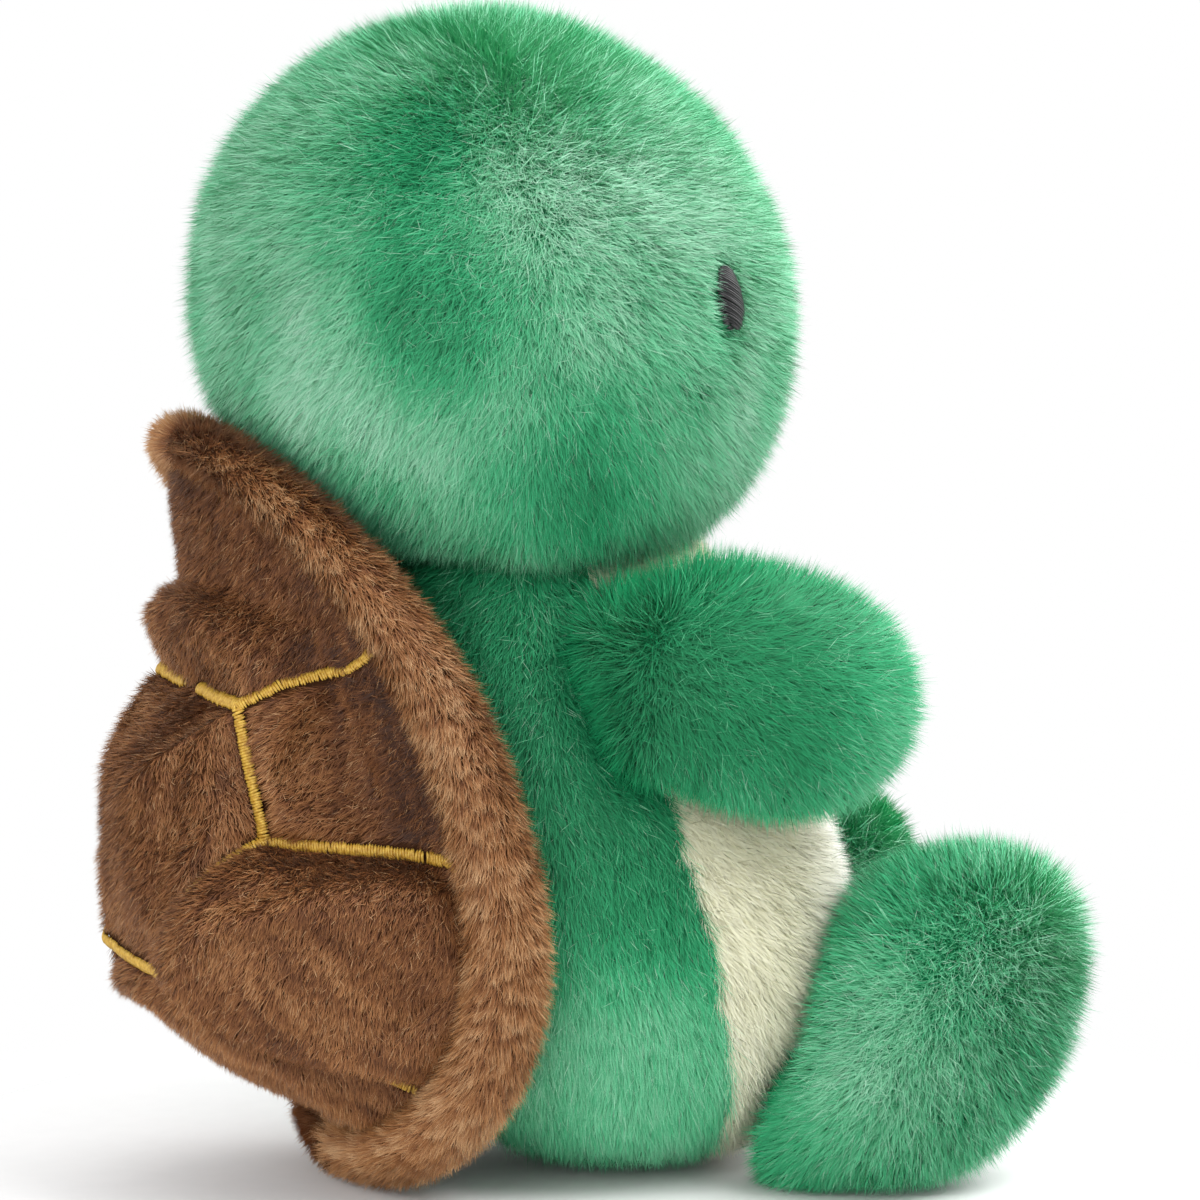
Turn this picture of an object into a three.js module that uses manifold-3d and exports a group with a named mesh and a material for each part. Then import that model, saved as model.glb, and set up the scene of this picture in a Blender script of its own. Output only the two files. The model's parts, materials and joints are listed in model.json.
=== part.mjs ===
// A sitting plush turtle, palm sized, with a quilted shell. Millimetres, +Z up.
// It faces -Y, its right side is -X, and it sits on Z = 0.
// Each sewn part is cloth panels round its own stuffing, and neighbours keep a seam gap.

import * as THREE from 'three';
import { mergeVertices } from 'three/addons/utils/BufferGeometryUtils.js';
import Module from 'manifold-3d';

const wasm = await Module();
wasm.setup();

// Cloth, gaps and how flat the underside sits
const furCloth = 2.4;
const shellCloth = 1.8;
const liningCloth = 1.2;
const pouchCloth = 0.9;
const seamGap = 0.3;
const facetSlack = 0.45;
const weldReach = 0.01;
const standFlat = 0.5;

// Body: a pear of long-pile cloth, leaning back towards the neck
const bodyHalfWidth = 29.5;
const bodyHalfDepth = 28.5;
const bodyHalfHeight = 36.5;
const bodyFullnessShare = 2.2;
const bodyNarrowShare = 0.13;
const bodyLean = 7;
const sideSeamHeight = 62;
const sideSeamSetback = 4;
const sideSeamSlopeShare = 0.27;
const baseSeamHeight = 4.2;
const pouchHeight = 19;
const pouchSlitLength = 14;
const pouchSlitWidth = 1.2;

// Head: a ball a little longer from brow to chin, sunk on the neck
const headHalfWidth = 35;
const headHalfLength = 33;
const headHalfThickness = 31;
const headTilt = THREE.MathUtils.degToRad(42);
const headSink = 9.4;
const headSetback = 2;
const faceSeamSetback = 5;
const neckRadius = 12;
const neckRise = 4.2;
const nodBack = THREE.MathUtils.degToRad(6);
const nodForward = THREE.MathUtils.degToRad(10);
const neckTurn = THREE.MathUtils.degToRad(15);

// Eyes: raised ovals of satin stitch
const eyeHalfWidth = 2.5;
const eyeHalfHeight = 3.5;
const eyeThickness = 0.9;
const eyeSpread = THREE.MathUtils.degToRad(57.5);
const eyeLift = THREE.MathUtils.degToRad(6.5);

// Arms: mitts sewn along the side seam, able to swing out
const armHalfThickness = 8.6;
const armHalfLength = 18;
const armHalfHeight = 13.5;
const armFullnessShare = 2.25;
const armDroop = THREE.MathUtils.degToRad(16);
const armSeamTurn = THREE.MathUtils.degToRad(84);
const armSeamLowShare = 0.4;
const armSeamHighShare = 0.6;
const armSeamOutset = 2.4;
const armReach = 11.8;
const armOutset = 2.6;
const armRise = -0.4;
const armRootRadius = 6.4;
const armSwing = THREE.MathUtils.degToRad(30);

// Legs: upright feet on short thighs, able to splay
const legHalfWidth = 13.2;
const legHalfLength = 16.4;
const legHalfHeight = 18.6;
const legFullnessShare = 2.3;
const legLean = 5.2;
const hipTurn = THREE.MathUtils.degToRad(50);
const hipHeight = 11;
const hipOutset = 2.6;
const hipRootLength = 5;
const hipRootRadius = 7.6;
const legReach = 10.6;
const legOutset = 3.4;
const splayIn = THREE.MathUtils.degToRad(8);
const splayOut = THREE.MathUtils.degToRad(20);

// Shell: a rolled rim round the back, a flat lining and a quilted dome
const rimHalfWidth = 30;
const rimRise = 8.1;
const rimSetback = 33.2;
const rimLeanBack = 9.2;
const rimSideHug = 13.4;
const rimFullnessShare = 2.3;
const rimPinchShare = 0.1;
const rimHalfDepth = 5.2;
const rimHalfBreadth = 4.3;
const rimTopThinShare = 0.26;
const rimThinReachShare = 4;
const rimSlotTurn = THREE.MathUtils.degToRad(34);
const liningBulge = 2.4;
const domeHalfWidth = 26.9;
const domeHalfDepth = 24;
const domeInset = 6;
const domeFullnessShare = 2.35;
const domeNarrowShare = 0.16;
const domeDrop = 2.8;
const domeSetback = 27;
const domeTilt = THREE.MathUtils.degToRad(10);
const domeWrap = THREE.MathUtils.degToRad(101);
const quiltDepth = 3;
const quiltPuff = 1.3;
const quiltFullnessShare = 3;
// corners of the middle scute on one side, as shares of the dome's half width and half height
const scuteCornerShares = [[0.52, 0.5], [0.56, 0.05], [0.44, -0.38]];
// where the stitched lines from those corners reach the rim, as shares of a half turn from straight up
const scuteLineShares = [0.25, 0.53, 0.8];

// Facets round and along each kind of form
const fineSides = 26;
const fineSteps = 15;
const plainSides = 18;
const plainSteps = 10;
const roomSides = 22;
const roomSteps = 13;
const limbSides = 18;
const limbSteps = 11;
const fillSides = 14;
const fillSteps = 8;
const eyeSides = 14;
const rollSides = 10;
const rollCapSteps = 3;
const rimStations = 40;
const rimSides = 8;
const liningRings = 3;
const scuteFacets = 6;
const scuteInnerRings = 3;
const scuteOuterRings = 5;
const frontRings = 4;

const furGreen = 0x3fae76;
const furGreenPale = 0x5cbd8b;
const bellyCream = 0xe8e6bd;
const shellBrown = 0x8c5f3c;
const rimBrown = 0x9c6f47;
const liningBrown = 0x6e4a2e;
const fibreWhite = 0xf1f0ec;
const pouchWhite = 0xdedbd2;
const pelletGrey = 0xc9ccd0;
const eyeBlack = 0x2a2a2d;

const bodyCentreHeight = bodyHalfHeight - standFlat;
// the rim stands a little higher than the neck, and the dome fills it
const rimTopHeight = bodyCentreHeight + bodyHalfHeight + rimRise;
const rimBottomHeight = rimHalfBreadth - standFlat;
const rimMiddleHeight = (rimTopHeight + rimBottomHeight) / 2;
const domeHalfHeight = rimTopHeight - rimMiddleHeight - domeInset;
const domeHeight = rimMiddleHeight - domeDrop;
const cutReach = (bodyHalfHeight + headHalfLength) * 4;
const upright = new THREE.Vector3(0, 0, 1);
const sideways = new THREE.Vector3(1, 0, 0);
const halfTurn = Math.PI;
const fullTurn = Math.PI * 2;
const quarterTurn = Math.PI / 2;

// Solids: closed geometries go in, and joined or cut geometries come out

function solidOf(geometry) {
  const bare = geometry.index ? geometry.toNonIndexed() : geometry.clone();
  bare.deleteAttribute('normal');
  bare.deleteAttribute('uv');
  const merged = mergeVertices(bare);
  return new wasm.Manifold(new wasm.Mesh({
    numProp: 3,
    vertProperties: new Float32Array(merged.attributes.position.array),
    triVerts: new Uint32Array(merged.index.array),
  }));
}

function geometryOf(solid) {
  const mesh = solid.setTolerance(weldReach).getMesh();
  const geometry = new THREE.BufferGeometry();
  geometry.setAttribute('position', new THREE.BufferAttribute(mesh.vertProperties, mesh.numProp));
  geometry.setIndex(new THREE.BufferAttribute(mesh.triVerts, 1));
  const faceted = geometry.toNonIndexed();
  faceted.computeVertexNormals();
  return faceted;
}

// A closed skin between two poles: point(row, column) for each inner row, and one point at each end.
function closedLoft(rows, columns, point) {
  const corners = [];
  const at = (row, column) => point(row / rows, (column % columns) / columns);
  for (let row = 0; row < rows; row += 1) {
    for (let column = 0; column < columns; column += 1) {
      const [a, b] = [at(row, column), at(row, column + 1)];
      const [c, d] = [at(row + 1, column), at(row + 1, column + 1)];
      if (row < rows - 1) corners.push(a, c, d);
      if (row === rows - 1) corners.push(a, c, b);
      if (row > 0 && row < rows - 1) corners.push(a, d, b);
    }
  }
  return new THREE.BufferGeometry().setFromPoints(corners);
}

// A closed skin round a ring: both ways it comes back to where it began.
function closedRing(stations, sides, point) {
  const corners = [];
  const at = (station, side) => point((station % stations) / stations, side % sides);
  for (let station = 0; station < stations; station += 1) {
    for (let side = 0; side < sides; side += 1) {
      const [a, b] = [at(station, side), at(station, side + 1)];
      const [c, d] = [at(station + 1, side), at(station + 1, side + 1)];
      corners.push(a, c, d, a, d, b);
    }
  }
  return new THREE.BufferGeometry().setFromPoints(corners);
}

// The place on a stuffed form that lies in a given direction from its middle.
function stuffedPoint(form, direction, inset = 0) {
  const { half, fullness = 2, narrow = 0, lean = 0 } = form;
  const spread = ['x', 'y', 'z'].reduce((sum, axis) => sum + Math.abs(direction[axis]) ** fullness, 0);
  const unit = direction.clone().multiplyScalar(spread ** (-1 / fullness));
  const waist = 1 - narrow * unit.z;
  return new THREE.Vector3(
    (half.x - inset) * unit.x * waist,
    (half.y - inset) * unit.y * waist + lean * unit.z,
    (half.z - inset) * unit.z,
  );
}

function directionOf(polar, around) {
  return new THREE.Vector3().setFromSphericalCoords(1, polar, around).applyAxisAngle(sideways, quarterTurn);
}

function stuffedSolid(form, inset, columns, rows) {
  const point = (row, column) => stuffedPoint(form, directionOf(row * halfTurn, column * fullTurn), inset);
  const geometry = closedLoft(rows, columns, point);
  if (form.turn) geometry.applyMatrix4(form.turn);
  geometry.translate(form.at.x, form.at.y, form.at.z);
  return solidOf(geometry);
}

// All the space on one side of a plane, kept half a seam gap away from it.
function spaceBeyond(point, direction, gap = seamGap / 2) {
  const block = new THREE.BoxGeometry(cutReach, cutReach, cutReach);
  block.translate(0, 0, cutReach / 2 + gap);
  block.applyQuaternion(new THREE.Quaternion().setFromUnitVectors(upright, direction.clone().normalize()));
  block.translate(point.x, point.y, point.z);
  return solidOf(block);
}

function turnAbout(point, axis, angle) {
  return new THREE.Matrix4()
    .makeTranslation(point.x, point.y, point.z)
    .multiply(new THREE.Matrix4().makeRotationAxis(axis, angle))
    .multiply(new THREE.Matrix4().makeTranslation(-point.x, -point.y, -point.z));
}

function turned(solid, point, axis, angle) {
  return solid.transform(turnAbout(point, axis, angle).toArray());
}

const above = (height) => spaceBeyond(new THREE.Vector3(0, 0, height), upright);
const below = (height) => spaceBeyond(new THREE.Vector3(0, 0, height), upright.clone().negate());
const floorCut = spaceBeyond(new THREE.Vector3(), upright.clone().negate(), 0);
const rightHalf = spaceBeyond(new THREE.Vector3(), sideways.clone().negate());
const leftHalf = spaceBeyond(new THREE.Vector3(), sideways);

// Forms that the pieces are cut from

const bodyForm = {
  half: new THREE.Vector3(bodyHalfWidth, bodyHalfDepth, bodyHalfHeight),
  fullness: bodyFullnessShare,
  narrow: bodyNarrowShare,
  lean: bodyLean,
  at: new THREE.Vector3(0, 0, bodyCentreHeight),
};
const bodyTop = stuffedPoint(bodyForm, upright).add(bodyForm.at);

const headForm = {
  half: new THREE.Vector3(headHalfWidth, headHalfLength, headHalfThickness),
  turn: new THREE.Matrix4().makeRotationX(headTilt),
  at: new THREE.Vector3(0, bodyTop.y + headSetback, bodyTop.z - headSink + headHalfThickness),
};
const neckPoint = new THREE.Vector3(0, bodyTop.y, bodyTop.z - headSink + neckRise);

const neckForm = { half: new THREE.Vector3(neckRadius, neckRadius, neckRadius), at: neckPoint };
const neckRoom = stuffedSolid(neckForm, -seamGap, plainSides, plainSteps);

function headSolid(inset, columns = fillSides, rows = fillSteps) {
  return stuffedSolid(headForm, inset, columns, rows);
}

// The room that the head sweeps as it nods and turns, which everything under and behind it leaves free.
function headRoom(extra = 0) {
  const sway = headHalfThickness * Math.sin(nodForward) * Math.sin(neckTurn);
  const wideForm = { ...headForm, half: headForm.half.clone().addScaledVector(sideways, sway) };
  const wide = stuffedSolid(wideForm, -seamGap - facetSlack - extra, plainSides, plainSteps);
  return turned(wide, neckPoint, sideways, -nodBack).add(turned(wide, neckPoint, sideways, nodForward));
}

// A place on the body's skin, or a little outside it, where a limb is sewn on.
function limbSeam(turn, share, side, outset) {
  const level = Math.sqrt(1 - share * share);
  const direction = new THREE.Vector3(side * Math.sin(turn) * level, -Math.cos(turn) * level, share);
  return stuffedPoint(bodyForm, direction, -outset).add(bodyForm.at);
}

// A roll of cloth along a seam, which the limb turns about.
function rootRoll(low, high, radius) {
  const length = low.distanceTo(high);
  const roll = new THREE.CapsuleGeometry(radius, length, rollCapSteps, rollSides, 1);
  roll.rotateX(quarterTurn);
  const run = high.clone().sub(low).normalize();
  roll.applyQuaternion(new THREE.Quaternion().setFromUnitVectors(upright, run));
  const middle = low.clone().lerp(high, 1 / 2);
  roll.translate(middle.x, middle.y, middle.z);
  return solidOf(roll);
}

function armPlan(side) {
  const low = limbSeam(armSeamTurn, armSeamLowShare, side, armSeamOutset);
  const high = limbSeam(armSeamTurn, armSeamHighShare, side, armSeamOutset);
  const middle = low.clone().lerp(high, 1 / 2);
  const run = high.clone().sub(low).normalize();
  return {
    side,
    low,
    high,
    hinge: middle,
    axis: run.multiplyScalar(side),
    rootRadius: armRootRadius,
    swings: [0, armSwing / 2, armSwing],
    form: {
      half: new THREE.Vector3(armHalfThickness, armHalfLength, armHalfHeight),
      fullness: armFullnessShare,
      turn: new THREE.Matrix4().makeRotationX(armDroop),
      at: new THREE.Vector3(side * (Math.abs(middle.x) + armOutset), middle.y - armReach, middle.z + armRise),
    },
  };
}

function legPlan(side) {
  const hipShare = (hipHeight - bodyCentreHeight) / bodyHalfHeight;
  const hip = limbSeam(hipTurn, hipShare, side, hipOutset);
  const low = hip.clone().addScaledVector(upright, -hipRootLength / 2);
  const high = hip.clone().addScaledVector(upright, hipRootLength / 2);
  return {
    side,
    low,
    high,
    hinge: hip,
    axis: upright.clone().multiplyScalar(side),
    rootRadius: hipRootRadius,
    swings: [-splayIn, 0, splayOut / 2, splayOut],
    form: {
      half: new THREE.Vector3(legHalfWidth, legHalfLength, legHalfHeight),
      fullness: legFullnessShare,
      lean: -legLean,
      at: new THREE.Vector3(
        side * (Math.abs(hip.x) + legOutset),
        hip.y - legReach,
        legHalfHeight - standFlat,
      ),
    },
  };
}

const limbPlans = {
  arm_right: armPlan(-1),
  arm_left: armPlan(1),
  leg_right: legPlan(-1),
  leg_left: legPlan(1),
};

function limbSockets(extra) {
  return Object.values(limbPlans)
    .map(({ low, high, rootRadius }) => rootRoll(low, high, rootRadius + extra))
    .reduce((all, socket) => all.add(socket));
}

// The pear of the body, with its flat seat, its neck dish and the sockets of its limbs.
function bodySolid(inset, columns, rows) {
  return stuffedSolid(bodyForm, inset, columns, rows)
    .subtract(headRoom(inset))
    .subtract(limbSockets(seamGap + facetSlack + inset))
    .subtract(spaceBeyond(new THREE.Vector3(0, 0, inset), upright.clone().negate(), 0));
}

// Pieces

const turtle = new THREE.Group();

function addPiece(name, solid, color, roughness = 0.95) {
  const material = new THREE.MeshStandardMaterial({ color, roughness, metalness: 0 });
  const piece = new THREE.Mesh(geometryOf(solid), material);
  piece.name = name;
  turtle.add(piece);
}

function buildBody() {
  const hollow = bodySolid(furCloth, fillSides, fillSteps);
  const skin = bodySolid(0, fineSides, fineSteps).subtract(hollow).subtract(neckRoom);
  const seamPoint = new THREE.Vector3(0, bodyTop.y - sideSeamSetback, sideSeamHeight);
  const seamFace = new THREE.Vector3(0, -1, sideSeamSlopeShare);
  const upper = skin.intersect(above(baseSeamHeight));
  const rear = upper.intersect(spaceBeyond(seamPoint, seamFace.clone().negate()));
  addPiece('belly_panel', upper.intersect(spaceBeyond(seamPoint, seamFace)), bellyCream);
  addPiece('body_side_right', rear.intersect(rightHalf), furGreen);
  addPiece('body_side_left', rear.intersect(leftHalf), furGreen);
  addPiece('base_panel', skin.intersect(below(baseSeamHeight)), furGreen);

  const inside = bodySolid(furCloth + seamGap, fillSides, fillSteps).subtract(neckRoom);
  addPiece('body_stuffing', inside.intersect(above(pouchHeight)), fibreWhite);
  const slit = new THREE.BoxGeometry(pouchSlitLength, pouchSlitWidth, pouchHeight);
  slit.translate(0, 0, pouchHeight);
  const pelletTop = pouchHeight - pouchCloth - seamGap;
  const pouchInside = bodySolid(furCloth + seamGap + pouchCloth, fillSides, fillSteps);
  const pouch = inside.intersect(below(pouchHeight))
    .subtract(pouchInside.intersect(below(pelletTop + seamGap)))
    .subtract(solidOf(slit));
  addPiece('pellet_pouch', pouch, pouchWhite);
  const pellets = bodySolid(furCloth + seamGap + pouchCloth + seamGap, fillSides, fillSteps);
  addPiece('pellets', pellets.intersect(below(pelletTop)), pelletGrey);
}

function buildHead() {
  const skin = headSolid(0, fineSides, fineSteps).subtract(headSolid(furCloth)).subtract(neckRoom);
  const seamPoint = new THREE.Vector3(0, headForm.at.y + faceSeamSetback, 0);
  const forward = new THREE.Vector3(0, -1, 0);
  const face = skin.intersect(spaceBeyond(seamPoint, forward));
  const back = skin.intersect(spaceBeyond(seamPoint, forward.clone().negate()));
  addPiece('head_face_right', face.intersect(rightHalf), furGreenPale);
  addPiece('head_face_left', face.intersect(leftHalf), furGreenPale);
  addPiece('head_back_right', back.intersect(rightHalf), furGreen);
  addPiece('head_back_left', back.intersect(leftHalf), furGreen);
  addPiece('head_stuffing', headSolid(furCloth + seamGap).subtract(neckRoom), fibreWhite);
  addPiece('neck_stuffing', stuffedSolid(neckForm, 0, fillSides, fillSteps), fibreWhite);
}

// An eye is a thin oval pad that follows the curve of the face.
function buildEye(side, name) {
  const out = new THREE.Vector3(side * Math.sin(eyeSpread), -Math.cos(eyeSpread), Math.tan(eyeLift));
  const lie = new THREE.Quaternion().setFromUnitVectors(
    new THREE.Vector3(0, -1, 0), new THREE.Vector3(out.x, out.y, 0).normalize());
  const along = out.clone().applyMatrix4(headForm.turn.clone().invert()).normalize();
  const spot = stuffedPoint(headForm, along).applyMatrix4(headForm.turn).add(headForm.at);
  const oval = new THREE.CylinderGeometry(1, 1, 1, eyeSides);
  oval.scale(eyeHalfWidth, headHalfWidth, eyeHalfHeight);
  oval.applyQuaternion(lie);
  oval.translate(spot.x, spot.y, spot.z);
  const pad = headSolid(-seamGap - eyeThickness, fineSides, fineSteps)
    .subtract(headSolid(-seamGap, fineSides, fineSteps))
    .intersect(solidOf(oval));
  addPiece(name, pad, eyeBlack, 0.6);
}

// A limb, cut clear of the body at every angle that it swings through, on its rolled root.
function limbSolid(plan, inset, columns, rows) {
  const { form, low, high, hinge, axis, swings, rootRadius } = plan;
  const body = stuffedSolid(bodyForm, -seamGap - facetSlack - inset, roomSides, roomSteps);
  const room = swings
    .map((angle) => turned(body, hinge, axis, -angle))
    .reduce((all, copy) => all.add(copy));
  return stuffedSolid(form, inset, columns, rows)
    .subtract(room)
    .add(rootRoll(low, high, rootRadius - inset))
    .subtract(spaceBeyond(new THREE.Vector3(0, 0, inset), upright.clone().negate(), 0));
}

function buildLimb(name) {
  const plan = limbPlans[name];
  const seamPoint = new THREE.Vector3(plan.form.at.x, 0, 0);
  const outward = sideways.clone().multiplyScalar(plan.side);
  const hollow = limbSolid(plan, furCloth, fillSides, fillSteps);
  const skin = limbSolid(plan, 0, limbSides, limbSteps).subtract(hollow);
  addPiece(`${name}_outer`, skin.intersect(spaceBeyond(seamPoint, outward)), furGreen);
  addPiece(`${name}_inner`, skin.intersect(spaceBeyond(seamPoint, outward.negate())), furGreen);
  addPiece(`${name}_stuffing`, limbSolid(plan, furCloth + seamGap, fillSides, fillSteps), fibreWhite);
}

// The middle of the rolled rim, from its top round by the left side.
function rimPoint(share) {
  const turn = share * fullTurn;
  const spread = Math.abs(Math.cos(turn)) ** rimFullnessShare + Math.abs(Math.sin(turn)) ** rimFullnessShare;
  const full = spread ** (-1 / rimFullnessShare);
  const [up, out] = [Math.cos(turn) * full, Math.sin(turn) * full];
  return new THREE.Vector3(
    rimHalfWidth * out * (1 - rimPinchShare * up),
    rimSetback + rimLeanBack * up - rimSideHug * out * out,
    rimMiddleHeight + (rimMiddleHeight - rimBottomHeight) * up,
  );
}

// One closed outline carried round the rim: outline(side) gives a turn and an inset.
function rimSolid(sides, outline) {
  const step = 1 / rimStations;
  const point = (share, side) => {
    const middle = rimPoint(share);
    const run = rimPoint(share + step / 2).sub(rimPoint(share - step / 2)).normalize();
    const out = new THREE.Vector3(middle.x, 0, middle.z - domeHeight).normalize();
    const back = new THREE.Vector3().crossVectors(out, run).normalize();
    out.crossVectors(run, back);
    const { turn, inset } = outline(side);
    const thin = 1 - rimTopThinShare * Math.cos(share * halfTurn) ** rimThinReachShare;
    return middle
      .addScaledVector(out, Math.cos(turn) * (rimHalfBreadth * thin - inset))
      .addScaledVector(back, Math.sin(turn) * (rimHalfDepth * thin - inset));
  };
  return solidOf(closedRing(rimStations, sides, point));
}

const rimRound = (inset) => rimSolid(rimSides, (side) => ({ turn: (side / rimSides) * fullTurn, inset }));

// The rim's cloth is folded round its filling and left open along the seam towards the dome.
function rimCover() {
  const outline = (side) => {
    const inner = side >= rimSides;
    const place = inner ? rimSides * 2 - 1 - side : side;
    const sweep = fullTurn - rimSlotTurn * 2;
    const turn = halfTurn + rimSlotTurn + (place / (rimSides - 1)) * sweep;
    return { turn, inset: inner ? shellCloth : 0 };
  };
  return rimSolid(rimSides * 2, outline);
}

// The lining spans the rim like a drum skin, bowed back over the body, and ends at the roll's inner side.
function liningPoint(reach, around, behind, inset) {
  const middle = new THREE.Vector3(0, rimSetback + liningBulge, rimMiddleHeight);
  const edge = rimPoint(around);
  edge.lerp(middle, (rimHalfBreadth + seamGap + inset) / edge.distanceTo(middle));
  const point = middle.clone().lerp(edge, reach);
  point.y += liningBulge * (1 - reach * reach) + behind;
  return point;
}

function liningSlab(front, back, inset = 0) {
  const rows = liningRings * 2 + 1;
  const point = (row, column) => {
    const place = row * rows;
    const isBack = place < rows / 2;
    return liningPoint((isBack ? place : rows - place) / liningRings, column, isBack ? back : front, inset);
  };
  return solidOf(closedLoft(rows, rimStations / 2, point));
}

const domeForm = {
  half: new THREE.Vector3(domeHalfWidth, domeHalfDepth, domeHalfHeight),
  fullness: domeFullnessShare,
  narrow: domeNarrowShare,
};

// Scutes: a six-sided one in the middle, and one beyond each of its edges.

function scuteCorner(index) {
  const count = scuteCornerShares.length;
  const place = ((index % (count * 2)) + count * 2) % (count * 2);
  const mirrored = place >= count;
  const [x, z] = scuteCornerShares[mirrored ? count * 2 - 1 - place : place];
  return new THREE.Vector2(mirrored ? -x : x, z);
}

function scuteLineTurn(index) {
  const count = scuteLineShares.length;
  if (index >= count) return fullTurn - scuteLineTurn(count * 2 - 1 - index);
  if (index < 0) return -scuteLineTurn(-1 - index);
  return scuteLineShares[index] * halfTurn;
}

// How far the cloth stands out: pulled in at each stitched line, puffed between them.
function quiltLift(across, along) {
  const pillow = (1 - Math.abs(across) ** quiltFullnessShare) * (1 - Math.abs(along) ** quiltFullnessShare);
  return (quiltPuff + quiltDepth) * pillow - quiltDepth;
}

// The dome in three bands from the back: the middle scute, the outer scutes and the smooth front.
function domePoint(row, column, inset) {
  const rings = scuteInnerRings + scuteOuterRings + frontRings;
  const edges = scuteCornerShares.length * 2;
  const place = row * rings;
  const sector = Math.min(Math.floor(column * edges), edges - 1);
  const share = column * edges - sector;
  const corner = scuteCorner(sector - 1).lerp(scuteCorner(sector), share);
  const edgePolar = Math.asin(Math.min(corner.length(), 1));
  const edgeAround = Math.atan2(corner.x, corner.y);
  const inner = Math.min(place / scuteInnerRings, 1);
  const outer = Math.min(Math.max(place - scuteInnerRings, 0) / scuteOuterRings, 1);
  const front = Math.max(place - scuteInnerRings - scuteOuterRings, 0) / frontRings;
  const polar = Math.asin(Math.sin(edgePolar) * inner)
    + (domeWrap - edgePolar) * outer + (halfTurn - domeWrap) * front;
  const rimTurn = THREE.MathUtils.lerp(scuteLineTurn(sector - 1), scuteLineTurn(sector), share);
  const swing = Math.atan2(Math.sin(rimTurn - edgeAround), Math.cos(rimTurn - edgeAround));
  const around = edgeAround + swing * outer;
  const lift = outer > 0 ? quiltLift(share * 2 - 1, outer * 2 - 1) : quiltLift(0, inner);
  const direction = new THREE.Vector3(
    Math.sin(polar) * Math.sin(around),
    Math.cos(polar),
    Math.sin(polar) * Math.cos(around),
  );
  return stuffedPoint(domeForm, direction, inset - lift * (1 - front));
}

function domeSolid(inset, columnsPerScute = scuteFacets) {
  const rows = scuteInnerRings + scuteOuterRings + frontRings;
  const columns = columnsPerScute * scuteCornerShares.length * 2;
  const geometry = closedLoft(rows, columns, (row, column) => domePoint(row, column, inset));
  geometry.rotateX(-domeTilt);
  geometry.translate(0, domeSetback, domeHeight);
  return solidOf(geometry);
}

function buildShell() {
  const body = stuffedSolid(bodyForm, -seamGap, fineSides, fineSteps);
  const head = headRoom(seamGap);
  const clear = (solid) => solid.subtract(body).subtract(head).subtract(floorCut);
  addPiece('shell_rim', clear(rimCover()), rimBrown);
  addPiece('shell_rim_filling', clear(rimRound(shellCloth + seamGap)), fibreWhite);

  addPiece('shell_lining', clear(liningSlab(0, liningCloth)), liningBrown);
  const dome = clear(domeSolid(0).intersect(liningSlab(liningCloth + seamGap, cutReach)));
  const hollow = domeSolid(shellCloth, scuteFacets / 2)
    .intersect(liningSlab(-cutReach, cutReach, shellCloth));
  addPiece('shell_dome', dome.subtract(hollow), shellBrown);
  const inside = shellCloth + seamGap;
  const padding = domeSolid(inside, scuteFacets / 2)
    .intersect(liningSlab(liningCloth + seamGap, cutReach, inside));
  addPiece('shell_padding', clear(padding), fibreWhite);
}

buildBody();
buildHead();
buildEye(-1, 'eye_right');
buildEye(1, 'eye_left');
Object.keys(limbPlans).forEach(buildLimb);
buildShell();

// The origin is the middle of the footprint, on the floor.
const reach = new THREE.Box3().setFromObject(turtle);
turtle.position.set(-(reach.min.x + reach.max.x) / 2, -(reach.min.y + reach.max.y) / 2, -reach.min.z);

export default turtle;
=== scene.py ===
# A sitting plush turtle: pile cloth over stuffed forms, embroidered eyes and a quilted shell.
# Forms are worked out in millimetres, with X and Y from the middle of the body's own form.

import json
import math

import bpy
import numpy as np
from mathutils import Matrix, Vector
from mathutils.bvhtree import BVHTree
from mathutils.kdtree import KDTree


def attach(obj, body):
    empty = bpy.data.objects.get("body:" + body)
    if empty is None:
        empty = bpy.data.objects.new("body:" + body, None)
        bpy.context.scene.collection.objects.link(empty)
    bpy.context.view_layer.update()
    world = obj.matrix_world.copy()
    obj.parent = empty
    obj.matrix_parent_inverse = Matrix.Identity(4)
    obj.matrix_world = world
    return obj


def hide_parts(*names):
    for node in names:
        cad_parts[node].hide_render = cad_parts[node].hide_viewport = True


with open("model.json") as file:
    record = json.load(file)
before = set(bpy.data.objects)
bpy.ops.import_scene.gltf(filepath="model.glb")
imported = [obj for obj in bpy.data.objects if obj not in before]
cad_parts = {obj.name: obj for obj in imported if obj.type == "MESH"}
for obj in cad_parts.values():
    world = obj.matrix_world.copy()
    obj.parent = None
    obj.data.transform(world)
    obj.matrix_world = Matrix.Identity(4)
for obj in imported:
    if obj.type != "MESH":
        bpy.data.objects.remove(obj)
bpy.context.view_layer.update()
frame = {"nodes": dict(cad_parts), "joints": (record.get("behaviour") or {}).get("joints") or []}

MM = 0.001
SEED = 20

# Driving sizes of the forms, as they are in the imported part
BODY_HALF = (29.5, 28.5, 36.5)
BODY_FULLNESS = 2.2
BODY_NARROW = 0.13
BODY_LEAN = 7
BODY_MIDDLE = 36
HEAD_HALF = (35, 33, 31)
HEAD_TILT = math.radians(42)
HEAD_SINK = 9.4
HEAD_SETBACK = 2
HEAD_REST = 72.0
HEAD_GIVE = 0.45
FACE_SEAM_SETBACK = 5
SIDE_SEAM_HEIGHT = 62
SIDE_SEAM_SETBACK = 4
SIDE_SEAM_SLOPE = 0.27
BASE_SEAM_HEIGHT = 4.2

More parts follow.
